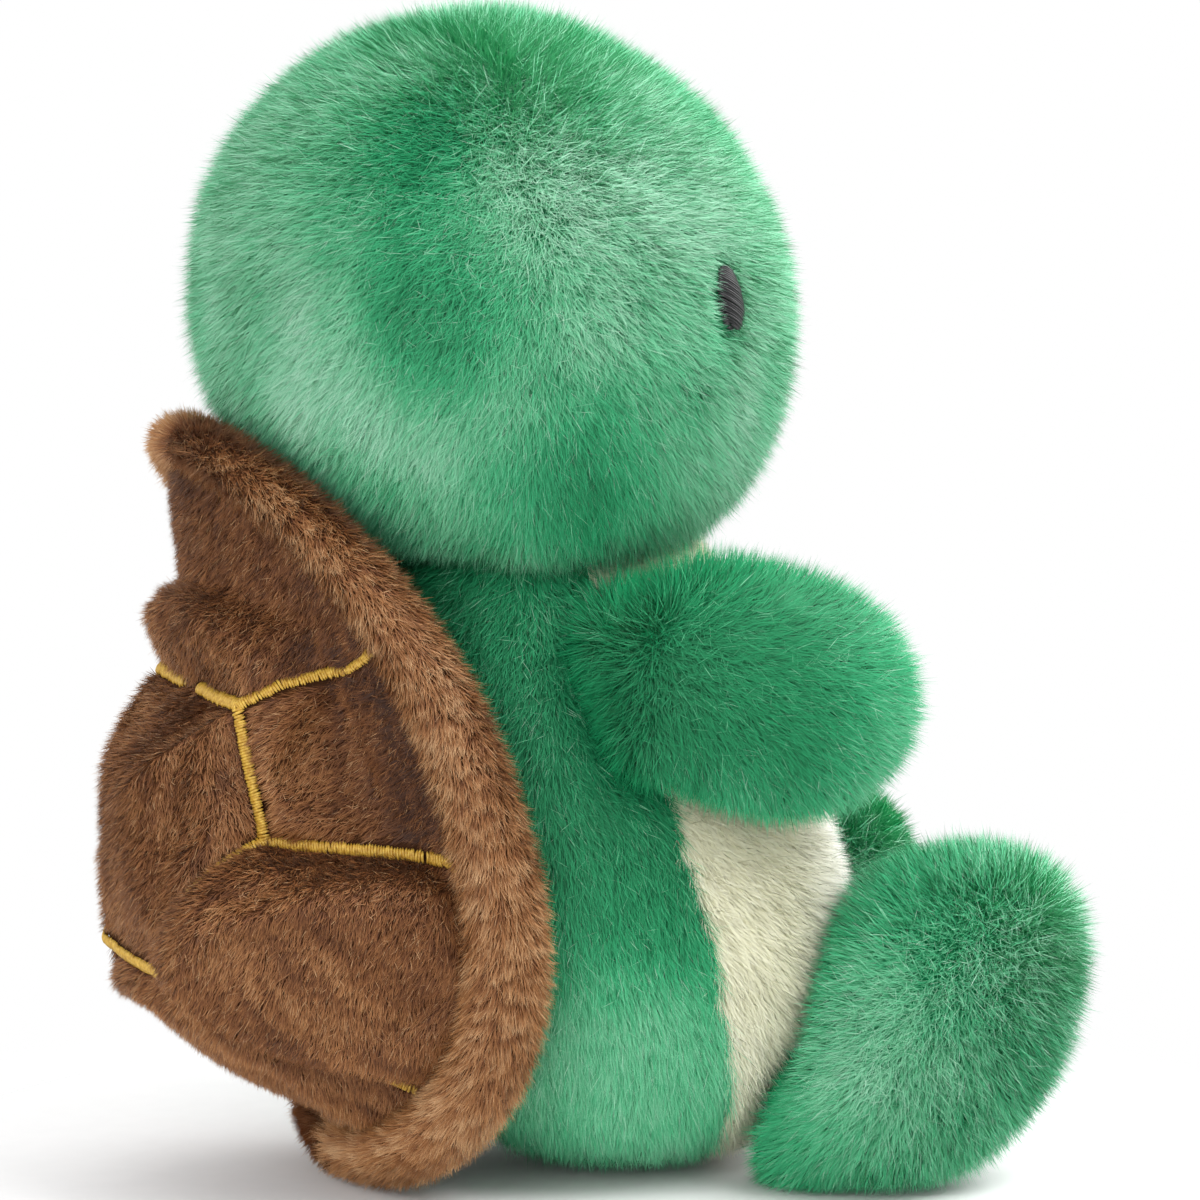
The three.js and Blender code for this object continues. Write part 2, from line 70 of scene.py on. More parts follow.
# Limbs: the seam on the body, the form's place from there and its size, and the angles to clear
ARM_TURN = math.radians(84)
ARM_SEAM = (0.4, 0.6)
ARM_OUTSET = 2.4
ARM_SHIFT = (2.6, -11.8, -0.4)
ARM_HALF = (8.6, 18, 13.5)
ARM_FULLNESS = 2.25
ARM_TILT = math.radians(16)
ARM_ROOT = 6.4
ARM_SWINGS = (0, 15, 30)
LEG_TURN = math.radians(50)
LEG_HIP_HEIGHT = 11
LEG_HIP_HALF = 2.5
LEG_OUTSET = 2.6
LEG_SHIFT = (3.4, -10.6)
LEG_HEIGHT = 18.1
LEG_HALF = (13.2, 16.4, 18.6)
LEG_FULLNESS = 2.3
LEG_LEAN = -5.2
LEG_ROOT = 7.6
LEG_SWINGS = (-8, 0, 10, 20)

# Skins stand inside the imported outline, which has the pile's reach, and rest a little above the floor
SKIN_INSET = 2.25
PANEL_CLOTH = 0.4
CLOTH_FLOOR = 0.3
TIP_FLOOR = 0.15

# Pile: fibres to the square millimetre, their width, and how much one differs from the next
PILE_DENSITY = 30.0
SHELL_DENSITY = 30.0
LINING_DENSITY = 18.0
PILE_WIDTH = 0.12
WIDTH_SPREAD = 0.2
LENGTH_SPREAD = 0.13
LENGTH_WAVE = 0.1
LEAN_SPREAD = 0.26
LEAN_WAVE = 0.1
TONE_SPREAD = 0.1
BLADE_TURN = 0.45
BLADE_SHADE = 0.35
# where the nap dies out on a form it lies every way and stands up more, and it is painted a little paler
# against the shade seen down between its upright fibres
FULL_FLOW = 0.5
WHORL_STRAY = 1.6
WHORL_LEAN = 0.2
WHORL_PAINTED_LIGHT = 0.2
# some fibres lie astray, and are painted paler as painted glints
GLINT_SHARE = 0.06
GLINT_LEAN = 0.25
GLINT_PAINTED_HIGHLIGHT = 0.6
# half the width that a fibre takes up in its map
CHART_HALF = 0.002

# Tones of the pile: how strongly spots are laid on, and the painted shade in the creases where stuffed
# forms meet
SPOT_SHARE = 1.5
CREASE_SHADE = 0.2
CREASE_REACH = 2.5
GREEN_LENGTH = 3.5
CREAM_LENGTH = 3.1

joints = {joint["name"]: joint for joint in frame["joints"]}
neck_joint = np.array(joints["neck_turn"]["pos_m"]) / MM
ORIGIN = np.array([0.0, neck_joint[1] - BODY_LEAN, 0.0])


def unit(vectors):
    return vectors / np.maximum(np.linalg.norm(vectors, axis=-1, keepdims=True), 1e-9)


def axis_turn(axis, angle):
    return np.array(Matrix.Rotation(angle, 3, Vector(axis)))


def flattened(vectors, normals):
    """Vectors laid flat on the surface that has these normals."""
    return vectors - (vectors * normals).sum(axis=1, keepdims=True) * normals


def spun(vectors, axes, angles):
    cos, sin = np.cos(angles)[:, None], np.sin(angles)[:, None]
    along = (axes * vectors).sum(axis=1, keepdims=True)
    return vectors * cos + np.cross(axes, vectors) * sin + axes * along * (1 - cos)


def nearest_of(points, cloud):
    """For each point, the number of the nearest one in a cloud and how far off that is."""
    number, away = np.empty(len(points), int), np.empty(len(points))
    for block in np.array_split(np.arange(len(points)), max(1, len(points) // 4000)):
        gaps = ((points[block][:, None] - cloud[None]) ** 2).sum(axis=2)
        number[block] = gaps.argmin(axis=1)
        away[block] = np.sqrt(gaps.min(axis=1))
    return number, away


def search_tree(points):
    tree = KDTree(len(points))
    for index, point in enumerate(points):
        tree.insert(point, index)
    tree.balance()
    return tree


# Smooth random fields, alike on every run

LATTICE_CELLS = 32
LATTICE_SHIFT = 7.31
lattice = np.random.default_rng(SEED).random((LATTICE_CELLS,) * 3)


def noise(points, scale, shift=0.0):
    """Smooth noise from -1 to 1 with features of about that size, in millimetres."""
    place = points / scale + shift * LATTICE_SHIFT + 100
    cell = np.floor(place).astype(int)
    part = place - cell
    part = part * part * (3 - 2 * part)
    total = np.zeros(len(points))
    for corner in np.ndindex(2, 2, 2):
        near = np.where(corner, part, 1 - part).prod(axis=1)
        total += near * lattice[tuple(((cell + corner) % LATTICE_CELLS).T)]
    return total * 2 - 1


# Forms


class Stuffed:
    """A rounded form between a ball and a box, that may taper upwards and lean."""

    def __init__(self, at, half, fullness=2.0, narrow=0.0, lean=0.0, tilt=0.0, rest=None, give=1.0):
        self.rest, self.give = rest, give
        self.at = np.array(at, float)
        self.half = np.array(half, float)
        self.fullness, self.narrow, self.lean = fullness, narrow, lean
        self.turn = axis_turn((1, 0, 0), tilt)

    def place(self, directions, outset=0.0):
        size = (np.abs(directions) ** self.fullness).sum(axis=-1, keepdims=True)
        ball = directions * size ** (-1 / self.fullness)
        waist = 1 - self.narrow * ball[..., 2:]
        points = ball * (self.half + outset)
        points[..., :2] *= waist
        points[..., 1] += self.lean * ball[..., 2]
        return self.rested(points @ self.turn.T + self.at, self.give)

    def rested(self, points, give):
        """Presses flat what hangs lower than the height where the form rests on its neighbour."""
        if self.rest is None:
            return points
        low = np.minimum(points[..., 2] - self.rest, 0)
        return points + low[..., None] * (give - 1) * np.array([0, 0, 1])

    def depth(self, points):
        """About how far inside the form each point lies."""
        local = (self.rested(points, 1 / self.give) - self.at) @ self.turn
        up = local[:, 2] / self.half[2]
        waist = 1 - self.narrow * np.clip(up, -1, 1)
        across = local[:, 0] / (self.half[0] * waist)
        along = (local[:, 1] - self.lean * up) / (self.half[1] * waist)
        value = (np.abs(across) ** self.fullness + np.abs(along) ** self.fullness
                 + np.abs(up) ** self.fullness) ** (1 / self.fullness)
        far = np.linalg.norm(local, axis=1)
        return far * (1 / np.maximum(value, 1e-6) - 1)

    def outward(self, points, step=0.05):
        slope = [self.depth(points + shift) - self.depth(points - shift) for shift in np.eye(3) * step]
        return unit(-np.stack(slope, axis=1))

    def skin(self, columns, rows, outset=0.0):
        polar = np.linspace(0, math.pi, rows + 1)[1:-1]
        around = np.linspace(0, math.tau, columns, endpoint=False)
        polar, around = np.meshgrid(polar, around, indexing="ij")
        wide = np.sin(polar)
        rings = np.stack([wide * np.sin(around), wide * np.cos(around), np.cos(polar)], axis=-1)
        ends = np.array([[0.0, 0.0, 1.0], [0.0, 0.0, -1.0]])
        points = self.place(np.concatenate([rings.reshape(-1, 3), ends]), outset)
        return points, loft_faces(rows - 1, columns)


class Roll:
    """A round-ended roll between two points."""

    def __init__(self, low, high, radius):
        self.low, self.high, self.radius = np.array(low), np.array(high), radius

    def depth(self, points):
        run = self.high - self.low
        share = np.clip((points - self.low) @ run / (run @ run), 0, 1)
        nearest = self.low + share[:, None] * run
        return self.radius - np.linalg.norm(points - nearest, axis=1)

    def skin(self, columns, rows):
        ball = Stuffed((0, 0, 0), (self.radius,) * 3)
        points, faces = ball.skin(columns, rows)
        run = self.high - self.low
        turn = np.array(Vector((0, 0, 1)).rotation_difference(Vector(unit(run))).to_matrix())
        upper = points[:, 2:] > 0
        return points @ turn.T + np.where(upper, self.high, self.low), faces


def loft_faces(rings, columns):
    """Quads between rings of points, closed by fans at two end points that come last."""
    start = np.arange(rings * columns).reshape(rings, columns)
    after = np.roll(start, -1, axis=1)
    quads = np.stack([start[:-1], after[:-1], after[1:], start[1:]], axis=-1).reshape(-1, 4)
    top, bottom = rings * columns, rings * columns + 1
    caps = [[top, b, a] for a, b in zip(start[0], after[0])]
    caps += [[bottom, a, b] for a, b in zip(start[-1], after[-1])]
    return quads.tolist() + caps


body = Stuffed((0, 0, BODY_MIDDLE), BODY_HALF, fullness=BODY_FULLNESS, narrow=BODY_NARROW, lean=BODY_LEAN)
body_top = np.array([0, BODY_LEAN, BODY_MIDDLE + BODY_HALF[2]])
head = Stuffed(body_top + [0, HEAD_SETBACK, HEAD_HALF[2] - HEAD_SINK], HEAD_HALF, tilt=HEAD_TILT,
               rest=HEAD_REST, give=HEAD_GIVE)


def limb_seam(turn, share, side, outset):
    level = math.sqrt(1 - share * share)
    direction = np.array([side * math.sin(turn) * level, -math.cos(turn) * level, share])
    return body.place(direction[None], outset)[0]


class Limb:
    def __init__(self, kind, side, form, low, high, radius, swings):
        self.name = kind + ("_left" if side > 0 else "_right")
        self.side, self.form = side, form
        self.root = Roll(low, high, radius)
        self.hinge = (low + high) / 2
        self.axis = side * unit(high - low)
        self.swings = swings


def make_arm(side):
    low, high = (limb_seam(ARM_TURN, share, side, ARM_OUTSET) for share in ARM_SEAM)
    middle = (low + high) / 2
    out, along, rise = ARM_SHIFT
    at = (side * (abs(middle[0]) + out), middle[1] + along, middle[2] + rise)
    form = Stuffed(at, ARM_HALF, fullness=ARM_FULLNESS, tilt=ARM_TILT)
    return Limb("arm", side, form, low, high, ARM_ROOT, ARM_SWINGS)


def make_leg(side):
    hip = limb_seam(LEG_TURN, (LEG_HIP_HEIGHT - BODY_MIDDLE) / BODY_HALF[2], side, LEG_OUTSET)
    low, high = hip - [0, 0, LEG_HIP_HALF], hip + [0, 0, LEG_HIP_HALF]
    out, along = LEG_SHIFT
    at = (side * (abs(hip[0]) + out), hip[1] + along, LEG_HEIGHT)
    form = Stuffed(at, LEG_HALF, fullness=LEG_FULLNESS, lean=LEG_LEAN)
    return Limb("leg", side, form, low, high, LEG_ROOT, LEG_SWINGS)


limbs = [make_arm(-1), make_arm(1), make_leg(-1), make_leg(1)]


# The camera stands where the photograph was taken from

VIEW_AZIMUTH = math.radians(250)
VIEW_ELEVATION = math.radians(8)
VIEW_DISTANCE = 800
VIEW_AIM = np.array([-0.37, -3.5, 61.65])
VIEW_WIDTH = 130.2
PHOTO_PIXELS = 1200
SENSOR = 36.0
RAY_REACH = 80
RAY_STEP = 0.25

view_back = np.array([math.sin(VIEW_AZIMUTH) * math.cos(VIEW_ELEVATION),
                      -math.cos(VIEW_AZIMUTH) * math.cos(VIEW_ELEVATION), math.sin(VIEW_ELEVATION)])
view_right = unit(np.cross([0, 0, 1], view_back))
view_up = np.cross(view_back, view_right)
view_from = VIEW_AIM + view_back * VIEW_DISTANCE


def seen(form, x, y):
    """The point of a form that the photograph shows at a pixel."""
    across = (x / PHOTO_PIXELS - 0.5) * VIEW_WIDTH
    above = (0.5 - y / PHOTO_PIXELS) * VIEW_WIDTH
    ray = unit(VIEW_AIM + view_right * across + view_up * above - view_from)
    reach = np.arange(VIEW_DISTANCE - RAY_REACH, VIEW_DISTANCE + RAY_REACH, RAY_STEP)
    steps = view_from + ray * reach[:, None]
    depths = form.depth(steps)
    inside = np.flatnonzero(depths > 0)
    return steps[inside[0] if len(inside) else int(np.argmax(depths))]


def make_camera():
    camera = bpy.data.objects.new("camera", bpy.data.cameras.new("camera"))
    bpy.context.scene.collection.objects.link(camera)
    camera.data.sensor_width = SENSOR
    camera.data.lens = SENSOR * VIEW_DISTANCE / VIEW_WIDTH
    camera.data.clip_start, camera.data.clip_end = 0.05, 20
    camera.location = Vector((view_from + ORIGIN) * MM)
    camera.rotation_mode = "QUATERNION"
    camera.rotation_quaternion = Vector(-view_back).to_track_quat("-Z", "Y")
    bpy.context.scene.camera = camera


# Meshes


def add_mesh(name, points, faces):
    mesh = bpy.data.meshes.new(name)
    mesh.from_pydata(((np.asarray(points) + ORIGIN) * MM).tolist(), [], faces)
    mesh.shade_smooth()
    piece = bpy.data.objects.new(name, mesh)
    bpy.context.scene.collection.objects.link(piece)
    return piece


def points_of(piece):
    flat = np.empty(len(piece.data.vertices) * 3, np.float32)
    piece.data.vertices.foreach_get("co", flat)
    return flat.reshape(-1, 3).astype(float) / MM - ORIGIN


def normals_of(piece):
    flat = np.empty(len(piece.data.vertices) * 3, np.float32)
    piece.data.vertices.foreach_get("normal", flat)
    return flat.reshape(-1, 3)


def set_points(piece, points):
    piece.data.vertices.foreach_set("co", ((points + ORIGIN) * MM).astype(np.float32).ravel())
    piece.data.update()


def apply_modifiers(piece):
    graph = bpy.context.evaluated_depsgraph_get()
    mesh = bpy.data.meshes.new_from_object(piece.evaluated_get(graph))
    piece.modifiers.clear()
    piece.data = mesh


def finish_piece(piece, material, body_name, slot):
    piece.data.materials.clear()
    piece.data.materials.append(material)
    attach(piece, body_name)


def finish_padded(piece, material, body_name, slot, node):
    """The same for a soft piece that stands for a solid of the CAD."""
    finish_piece(piece, material, body_name, slot)
    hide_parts(node)


def scatter(piece, density, rng):
    """Random points on a mesh, so many to the square millimetre, with their normals."""
    mesh = piece.data
    mesh.calc_loop_triangles()
    numbers = np.empty(len(mesh.loop_triangles) * 3, np.int32)
    mesh.loop_triangles.foreach_get("vertices", numbers)
    numbers = numbers.reshape(-1, 3)
    all_normals = normals_of(piece).astype(float)
    all_points = points_of(piece)
    corners, normals = ([values[numbers[:, i]] for i in range(3)] for values in (all_points, all_normals))
    a, b, c = corners
    areas = np.linalg.norm(np.cross(b - a, c - a), axis=1) / 2
    count = int(areas.sum() * density)
    chosen = np.searchsorted(np.cumsum(areas), rng.random(count) * areas.sum())
    chosen = np.minimum(chosen, len(areas) - 1)
    u, v = rng.random((2, count))
    over = u + v > 1
    u, v = np.where(over, 1 - u, u), np.where(over, 1 - v, v)
    weights = [(1 - u - v)[:, None], u[:, None], v[:, None]]
    points = sum(w * corner[chosen] for w, corner in zip(weights, corners))
    return points, unit(sum(w * normal[chosen] for w, normal in zip(weights, normals)))


def tufts(points, normals, scale):
    """Which way each fibre is drawn towards the middle of its tuft."""
    steps = np.diag(np.broadcast_to(scale, 3)) * 0.25
    slope = [noise(points + step, scale, 3) - noise(points - step, scale, 3) for step in steps]
    return flattened(np.stack(slope, axis=1), normals)


def add_pile(name, finish, rng, roots, normals, flow, tone, length, lean, width=PILE_WIDTH,
             tuft=0.5, tuft_size=1.6, spread=0.25, straight=0.35):
    """Fibres as thin blades. Tone and height are kept in the map that the pile's colours read."""
    count = len(roots)
    flow = flattened(flow, normals)
    strength = np.clip(np.linalg.norm(flow, axis=1) / FULL_FLOW, 0, 1)
    glint = rng.random(count) < GLINT_SHARE
    stray = rng.normal(0, spread + (1 - strength) * WHORL_STRAY, count) * (1 + glint)
    flow = spun(unit(flow), normals, stray + noise(roots, 5.0, 1) * straight)
    lean = lean + rng.normal(0, LEAN_SPREAD, count) + noise(roots, 2.2, 5) * LEAN_WAVE
    lean = (lean + glint * GLINT_LEAN) * (1 - WHORL_LEAN + WHORL_LEAN * strength)
    reach = length * (1 + rng.normal(0, LENGTH_SPREAD, count)) * (1 + noise(roots, 7.0, 2) * LENGTH_WAVE)
    course = normals * np.cos(lean)[:, None] + flow * np.sin(lean)[:, None]
    tip = roots + course * reach[:, None] + tufts(roots, normals, tuft_size) * tuft
    tip[:, 2] = np.maximum(tip[:, 2], TIP_FLOOR)
    side = unit(np.cross(course, normals))
    side = spun(side, course, rng.normal(0, BLADE_TURN, count))
    side *= np.sign((np.cross(side, course) * normals).sum(axis=1, keepdims=True))
    broad = (width * (1 + rng.normal(0, WIDTH_SPREAD, count)))[:, None] / 2
    corners = np.stack([roots - side * broad, roots + side * broad, tip], axis=1)
    soft = unit(normals + np.cross(side, course) * BLADE_SHADE)
    # painted glints on the astray fibres
    # painted light where the nap dies out
    tone = tone + rng.normal(0, TONE_SPREAD, count) + glint * GLINT_PAINTED_HIGHLIGHT + (1 - strength) * WHORL_PAINTED_LIGHT
    across = np.clip(tone, 0.02, 0.98)[:, None] + np.array([-CHART_HALF, CHART_HALF, 0])
    chart = np.stack([across, np.broadcast_to([0, 0, 1], (count, 3))], axis=-1)
    loops = np.arange(count * 3, dtype=np.int32)
    mesh = bpy.data.meshes.new(name)
    mesh.vertices.add(count * 3)
    mesh.vertices.foreach_set("co", ((corners.reshape(-1, 3) + ORIGIN) * MM).astype(np.float32).ravel())
    mesh.loops.add(count * 3)
    mesh.loops.foreach_set("vertex_index", loops)
    mesh.polygons.add(count)
    mesh.polygons.foreach_set("loop_start", loops[::3].copy())
    mesh.update(calc_edges=True)
    layer = mesh.uv_layers.new(name="OFBake")
    layer.data.foreach_set("uv", chart.astype(np.float32).ravel())
    mesh.shade_smooth()
    mesh.normals_split_custom_set_from_vertices(np.repeat(soft, 3, axis=0))
    piece = bpy.data.objects.new(name, mesh)
    bpy.context.scene.collection.objects.link(piece)
    finish_piece(piece, *finish)


# Materials


def colour(red, green, blue):
    """A colour given as it looks on a screen, from 0 to 255."""
    share = [c / 255 for c in (red, green, blue)]
    return tuple(c / 12.92 if c <= 0.04045 else ((c + 0.055) / 1.055) ** 2.4 for c in share) + (1.0,)


def grey(share):
    return (share, share, share, 1)


def wire(tree, node, inputs):
    """Sets a node's inputs: another node's output is linked, anything else is the input's own value."""
    for key, value in inputs.items():
        if isinstance(value, bpy.types.NodeSocket):
            tree.links.new(value, node.inputs[key])
        else:
            node.inputs[key].default_value = value


def add_node(tree, kind, inputs):
    node = tree.nodes.new("ShaderNode" + kind)
    wire(tree, node, inputs)
    return node


def node_material(name):
    material = bpy.data.materials.new(name)
    material.use_nodes = True
    tree = material.node_tree
    return material, tree, tree.nodes["Principled BSDF"]


def ramp_node(tree, factor, stops):
    ramp = add_node(tree, "ValToRGB", {"Fac": factor})
    elements = ramp.color_ramp.elements
    while len(elements) < len(stops):
        elements.new(0.5)
    for element, (place, value) in zip(elements, stops):
        element.position, element.color = place, value
    return ramp.outputs["Color"]


def noise_node(tree, place, scale, detail=2):
    return add_node(tree, "TexNoise", {"Vector": place, "Scale": scale, "Detail": detail}).outputs["Fac"]


def relief_node(tree, height, strength, distance):
    inputs = {"Height": height, "Strength": strength, "Distance": distance}
    return add_node(tree, "Bump", inputs).outputs["Normal"]


# Inputs and output of Blender's mix node that are colours
MIX_LOW, MIX_HIGH, MIX_RESULT = 6, 7, 2
# where up its length a fibre turns from its root's colour to its tip's
FIBRE_RISE = [(0.15, grey(0)), (0.95, grey(1))]
FIBRE_GLOSS = 0.35
SHEEN_ROUGHNESS = 0.35
CLOTH_ROUGHNESS = 0.95
CLOTH_GLOSS = 0.1
KNIT_DEPTH = 0.0002
KNIT_FINENESS = 12
THREAD_BANDS = 2500
THREAD_DEPTH = 0.0001


def pile_material(name, root_stops, tip_stops, roughness, sheen, sheen_tint):
    """Each fibre's tone lies across its map and its height up the map: darker roots, paler tips."""
    material, tree, shader = node_material(name)
    chart = add_node(tree, "UVMap", {})
    chart.uv_map = "OFBake"
    split = add_node(tree, "SeparateXYZ", {0: chart.outputs["UV"]})
    roots, tips = (ramp_node(tree, split.outputs["X"], stops) for stops in (root_stops, tip_stops))
    rise = ramp_node(tree, split.outputs["Y"], FIBRE_RISE)
    height = add_node(tree, "RGBToBW", {0: rise}).outputs[0]
    mix = tree.nodes.new("ShaderNodeMix")
    mix.data_type = "RGBA"
    wire(tree, mix, {0: height, MIX_LOW: roots, MIX_HIGH: tips})
    wire(tree, shader, {
        "Base Color": mix.outputs[MIX_RESULT], "Roughness": roughness, "Specular IOR Level": FIBRE_GLOSS,
        "Sheen Weight": sheen, "Sheen Roughness": SHEEN_ROUGHNESS, "Sheen Tint": sheen_tint})
    return material


def cloth_material(name, dark, light, scale, bump):
    """Backing cloth under the pile: mottled colour and a fine knit."""
    material, tree, shader = node_material(name)
    place = tree.nodes.new("ShaderNodeTexCoord").outputs["Object"]
    shade = ramp_node(tree, noise_node(tree, place, scale, 5), [(0.3, dark), (0.7, light)])
    knit = noise_node(tree, place, scale * KNIT_FINENESS)
    wire(tree, shader, {
        "Base Color": shade, "Normal": relief_node(tree, knit, bump, KNIT_DEPTH),
        "Roughness": CLOTH_ROUGHNESS, "Specular IOR Level": CLOTH_GLOSS})
    return material


def thread_material(name, dark, light, roughness):
    """Glossy twisted thread, with bands that run round it."""
    material, tree, shader = node_material(name)
    place = tree.nodes.new("ShaderNodeTexCoord").outputs["Object"]
    bands = noise_node(tree, place, THREAD_BANDS)
    wire(tree, shader, {
        "Base Color": ramp_node(tree, bands, [(0.3, dark), (0.7, light)]),
        "Normal": relief_node(tree, bands, 0.5, THREAD_DEPTH), "Roughness": roughness})
    return material


green_pile = pile_material(
    "green_pile",
    [(0.0, colour(18, 122, 76)), (0.5, colour(46, 170, 114)), (1.0, colour(120, 208, 162))],
    [(0.0, colour(24, 160, 100)), (0.35, colour(66, 200, 138)), (0.7, colour(150, 228, 184)),
     (1.0, colour(214, 248, 228))],
    0.5, 0.15, colour(150, 230, 190))
# the bluish whites at low tone carry the painted fill light on the belly's front
cream_pile = pile_material(
    "cream_pile",
    [(0.0, colour(240, 240, 242)), (1.0, colour(250, 248, 218))],
    [(0.0, colour(246, 246, 254)), (0.4, colour(254, 254, 246)), (1.0, colour(255, 254, 224))],
    0.6, 0.3, colour(255, 255, 250))
brown_pile = pile_material(
    "brown_pile",
    [(0.0, colour(46, 22, 10)), (0.5, colour(116, 66, 32)), (1.0, colour(160, 104, 58))],
    [(0.0, colour(72, 38, 18)), (0.35, colour(142, 88, 46)), (0.7, colour(196, 138, 84)),
     (1.0, colour(232, 192, 144))],
    0.55, 0.25, colour(230, 200, 170))
green_cloth = cloth_material("green_cloth", colour(24, 138, 86), colour(46, 164, 108), 90, 0.4)
cream_cloth = cloth_material("cream_cloth", colour(214, 212, 190), colour(236, 234, 205), 90, 0.4)
brown_cloth = cloth_material("brown_cloth", colour(52, 30, 18), colour(88, 56, 34), 90, 0.5)
black_thread = thread_material("black_thread", colour(4, 4, 5), colour(24, 24, 27), 0.3)
yellow_thread = thread_material("yellow_thread", colour(180, 134, 38), colour(228, 190, 84), 0.4)
fibre_fill = cloth_material("fibre_fill", colour(225, 225, 220), colour(246, 246, 242), 200, 0.6)
inner_materials = {
    "pellet_pouch": cloth_material("pouch_cloth", colour(196, 190, 176), colour(222, 217, 204), 160, 0.5),
    "pellets": cloth_material("pellet_beads", colour(200, 206, 210), colour(240, 243, 245), 900, 1.0),
}

# Skins of the stuffed forms, cleared of their neighbours at every angle that they swing through


def face_middles(points, faces):
    return np.array([points[face].mean(axis=0) for face in faces])


def move_outward(points, form, gap, times):
    """Moves points in a form, or nearer to it than the gap, out along its skin."""
    for _ in range(times):
        deep = form.depth(points) + gap
        hit = deep > 0
        points[hit] += form.outward(points[hit]) * deep[hit, None]


def push_out(points, form, gap, pivot, axis, angles):
    """Clears points of a form at each of these angles of their joint."""
    for angle in angles:
        turn = axis_turn(axis, math.radians(angle))
        turned = (points - pivot) @ turn.T + pivot
        move_outward(turned, form, gap, 3)
        points = (turned - pivot) @ turn + pivot
    return points


def push_in(points, form, gap, towards):
    """Moves points that lie inside a form away from it, towards a middle."""
    points = points.copy()
    for _ in range(12):
        deep = form.depth(points) + gap
        hit = deep > 0.01
        if not hit.any():
            break
        points[hit] += unit(towards - points[hit]) * np.minimum(deep[hit, None], 1.5)
    return points


def add_panels(points, faces, belongs, body_name, kinds):
    """Cuts a skin into its sewn panels. Each face comes with the number of its panel."""
    for number, (name, node, material, slot) in enumerate(kinds):
        chosen = [faces[i] for i in np.flatnonzero(belongs == number)]
        used = np.unique(np.concatenate([np.array(face) for face in chosen]))
        place = {int(corner): i for i, corner in enumerate(used)}
        piece = add_mesh(name, points[used], [[place[int(corner)] for corner in face] for face in chosen])
        wall = piece.modifiers.new("wall", "SOLIDIFY")
        wall.thickness = PANEL_CLOTH * MM
        wall.offset = -1
        apply_modifiers(piece)
        finish_padded(piece, material, body_name, slot, node)


def build_filling(skin, node, body_name, depth, sunk, centre, drawn_in):
    """The stuffing inside a skin: drawn in by the cloth, sunk forwards and a little smaller."""
    filling = skin.copy()
    filling.data = skin.data.copy()
    filling.modifiers.clear()
    filling.name = node + "_fill"
    bpy.context.scene.collection.objects.link(filling)
    points = points_of(filling) - normals_of(filling) * np.reshape(depth, (-1, 1))
    points[:, 1] -= sunk
    points[:, [0, 2]] = centre + (points[:, [0, 2]] - centre) * drawn_in
    set_points(filling, points)
    finish_padded(filling, fibre_fill, body_name, "filling_fibre", node)


def mirrored_spots(form, spots):
    """Spots of tone, each a pixel, a radius and a change of tone, on both sides of the toy: the pile's
    own patches with painted light and shade among them.
    """
    placed = []
    for x, y, radius, change in spots:
        point = seen(form, x, y)
        placed += [(place, radius, change * SPOT_SHARE) for place in (point, point * [-1, 1, 1])]
    return placed


def shaded(points, base, spots):
    tone = np.full(len(points), float(base))
    for point, radius, change in spots:
        tone += change * np.exp(-((points - point) ** 2).sum(axis=1) / (2 * radius * radius))
    return tone


def mirrored_flow(roots, direction):
    """One direction of the nap, given for the left side and mirrored on the right."""
    across, along, rise = direction
    even = np.ones(len(roots))
    return np.stack([np.sign(roots[:, 0]) * across, even * along, even * rise], axis=1)


# Embroidery

EYE_HALF_WIDTH = 2.15
EYE_HALF_HEIGHT = 3.3
EYE_SPREAD = math.radians(57.5)
EYE_LIFT = math.radians(6.5)
EYE_THREAD = 0.16
EYE_STEP = 1.7
EYE_SUNK = 0.75
EYE_ARCH = 0.35
# the two layers of an eye's stitches: how much they slant and how high they lie
EYE_LAYERS = ((0.4, 0.0), (-1.2, 0.26))
MOUTH_SPREAD = math.radians(9)
MOUTH_LIFT = math.radians(-21)
MOUTH_CURL = math.radians(5)
MOUTH_THREAD = 0.2
MOUTH_THREADS = (-0.28, 0.0, 0.28)
MOUTH_SUNK = 0.5
THREAD_SIDES = 6


class Eye:
    """An oval of satin stitch on the face."""

    def __init__(self, side):
        out = np.array([side * math.sin(EYE_SPREAD), -math.cos(EYE_SPREAD), math.tan(EYE_LIFT)])
        along = unit(out) @ head.turn
        self.at = head.place(along[None])[0]
        self.out = head.outward(self.at[None])[0]
        self.across = unit(np.cross([0, 0, 1], self.out))
        self.up = np.cross(self.out, self.across)
        self.name = "eye_left" if side > 0 else "eye_right"

    def reach(self, points):
        """0 at the eye's middle, 1 at its edge and much more on the head's other side."""
        away = points - self.at
        oval = np.hypot((away @ self.across) / EYE_HALF_WIDTH, (away @ self.up) / EYE_HALF_HEIGHT)
        return oval + (np.abs(away @ self.out) > 8) * 9


def mouth_points():
    """The stitched smile, low on the face."""
    sweep = np.linspace(-1, 1, 25)
    turn = sweep * MOUTH_SPREAD
    lift = MOUTH_LIFT + MOUTH_CURL * sweep ** 2
    out = np.stack([np.sin(turn), -np.cos(turn), np.tan(lift)], axis=1)
    return head.place(unit(out) @ head.turn)


eyes = [Eye(-1), Eye(1)]
mouth_line = mouth_points()


def mouth_distance(points):
    return nearest_of(points, mouth_line)[1]


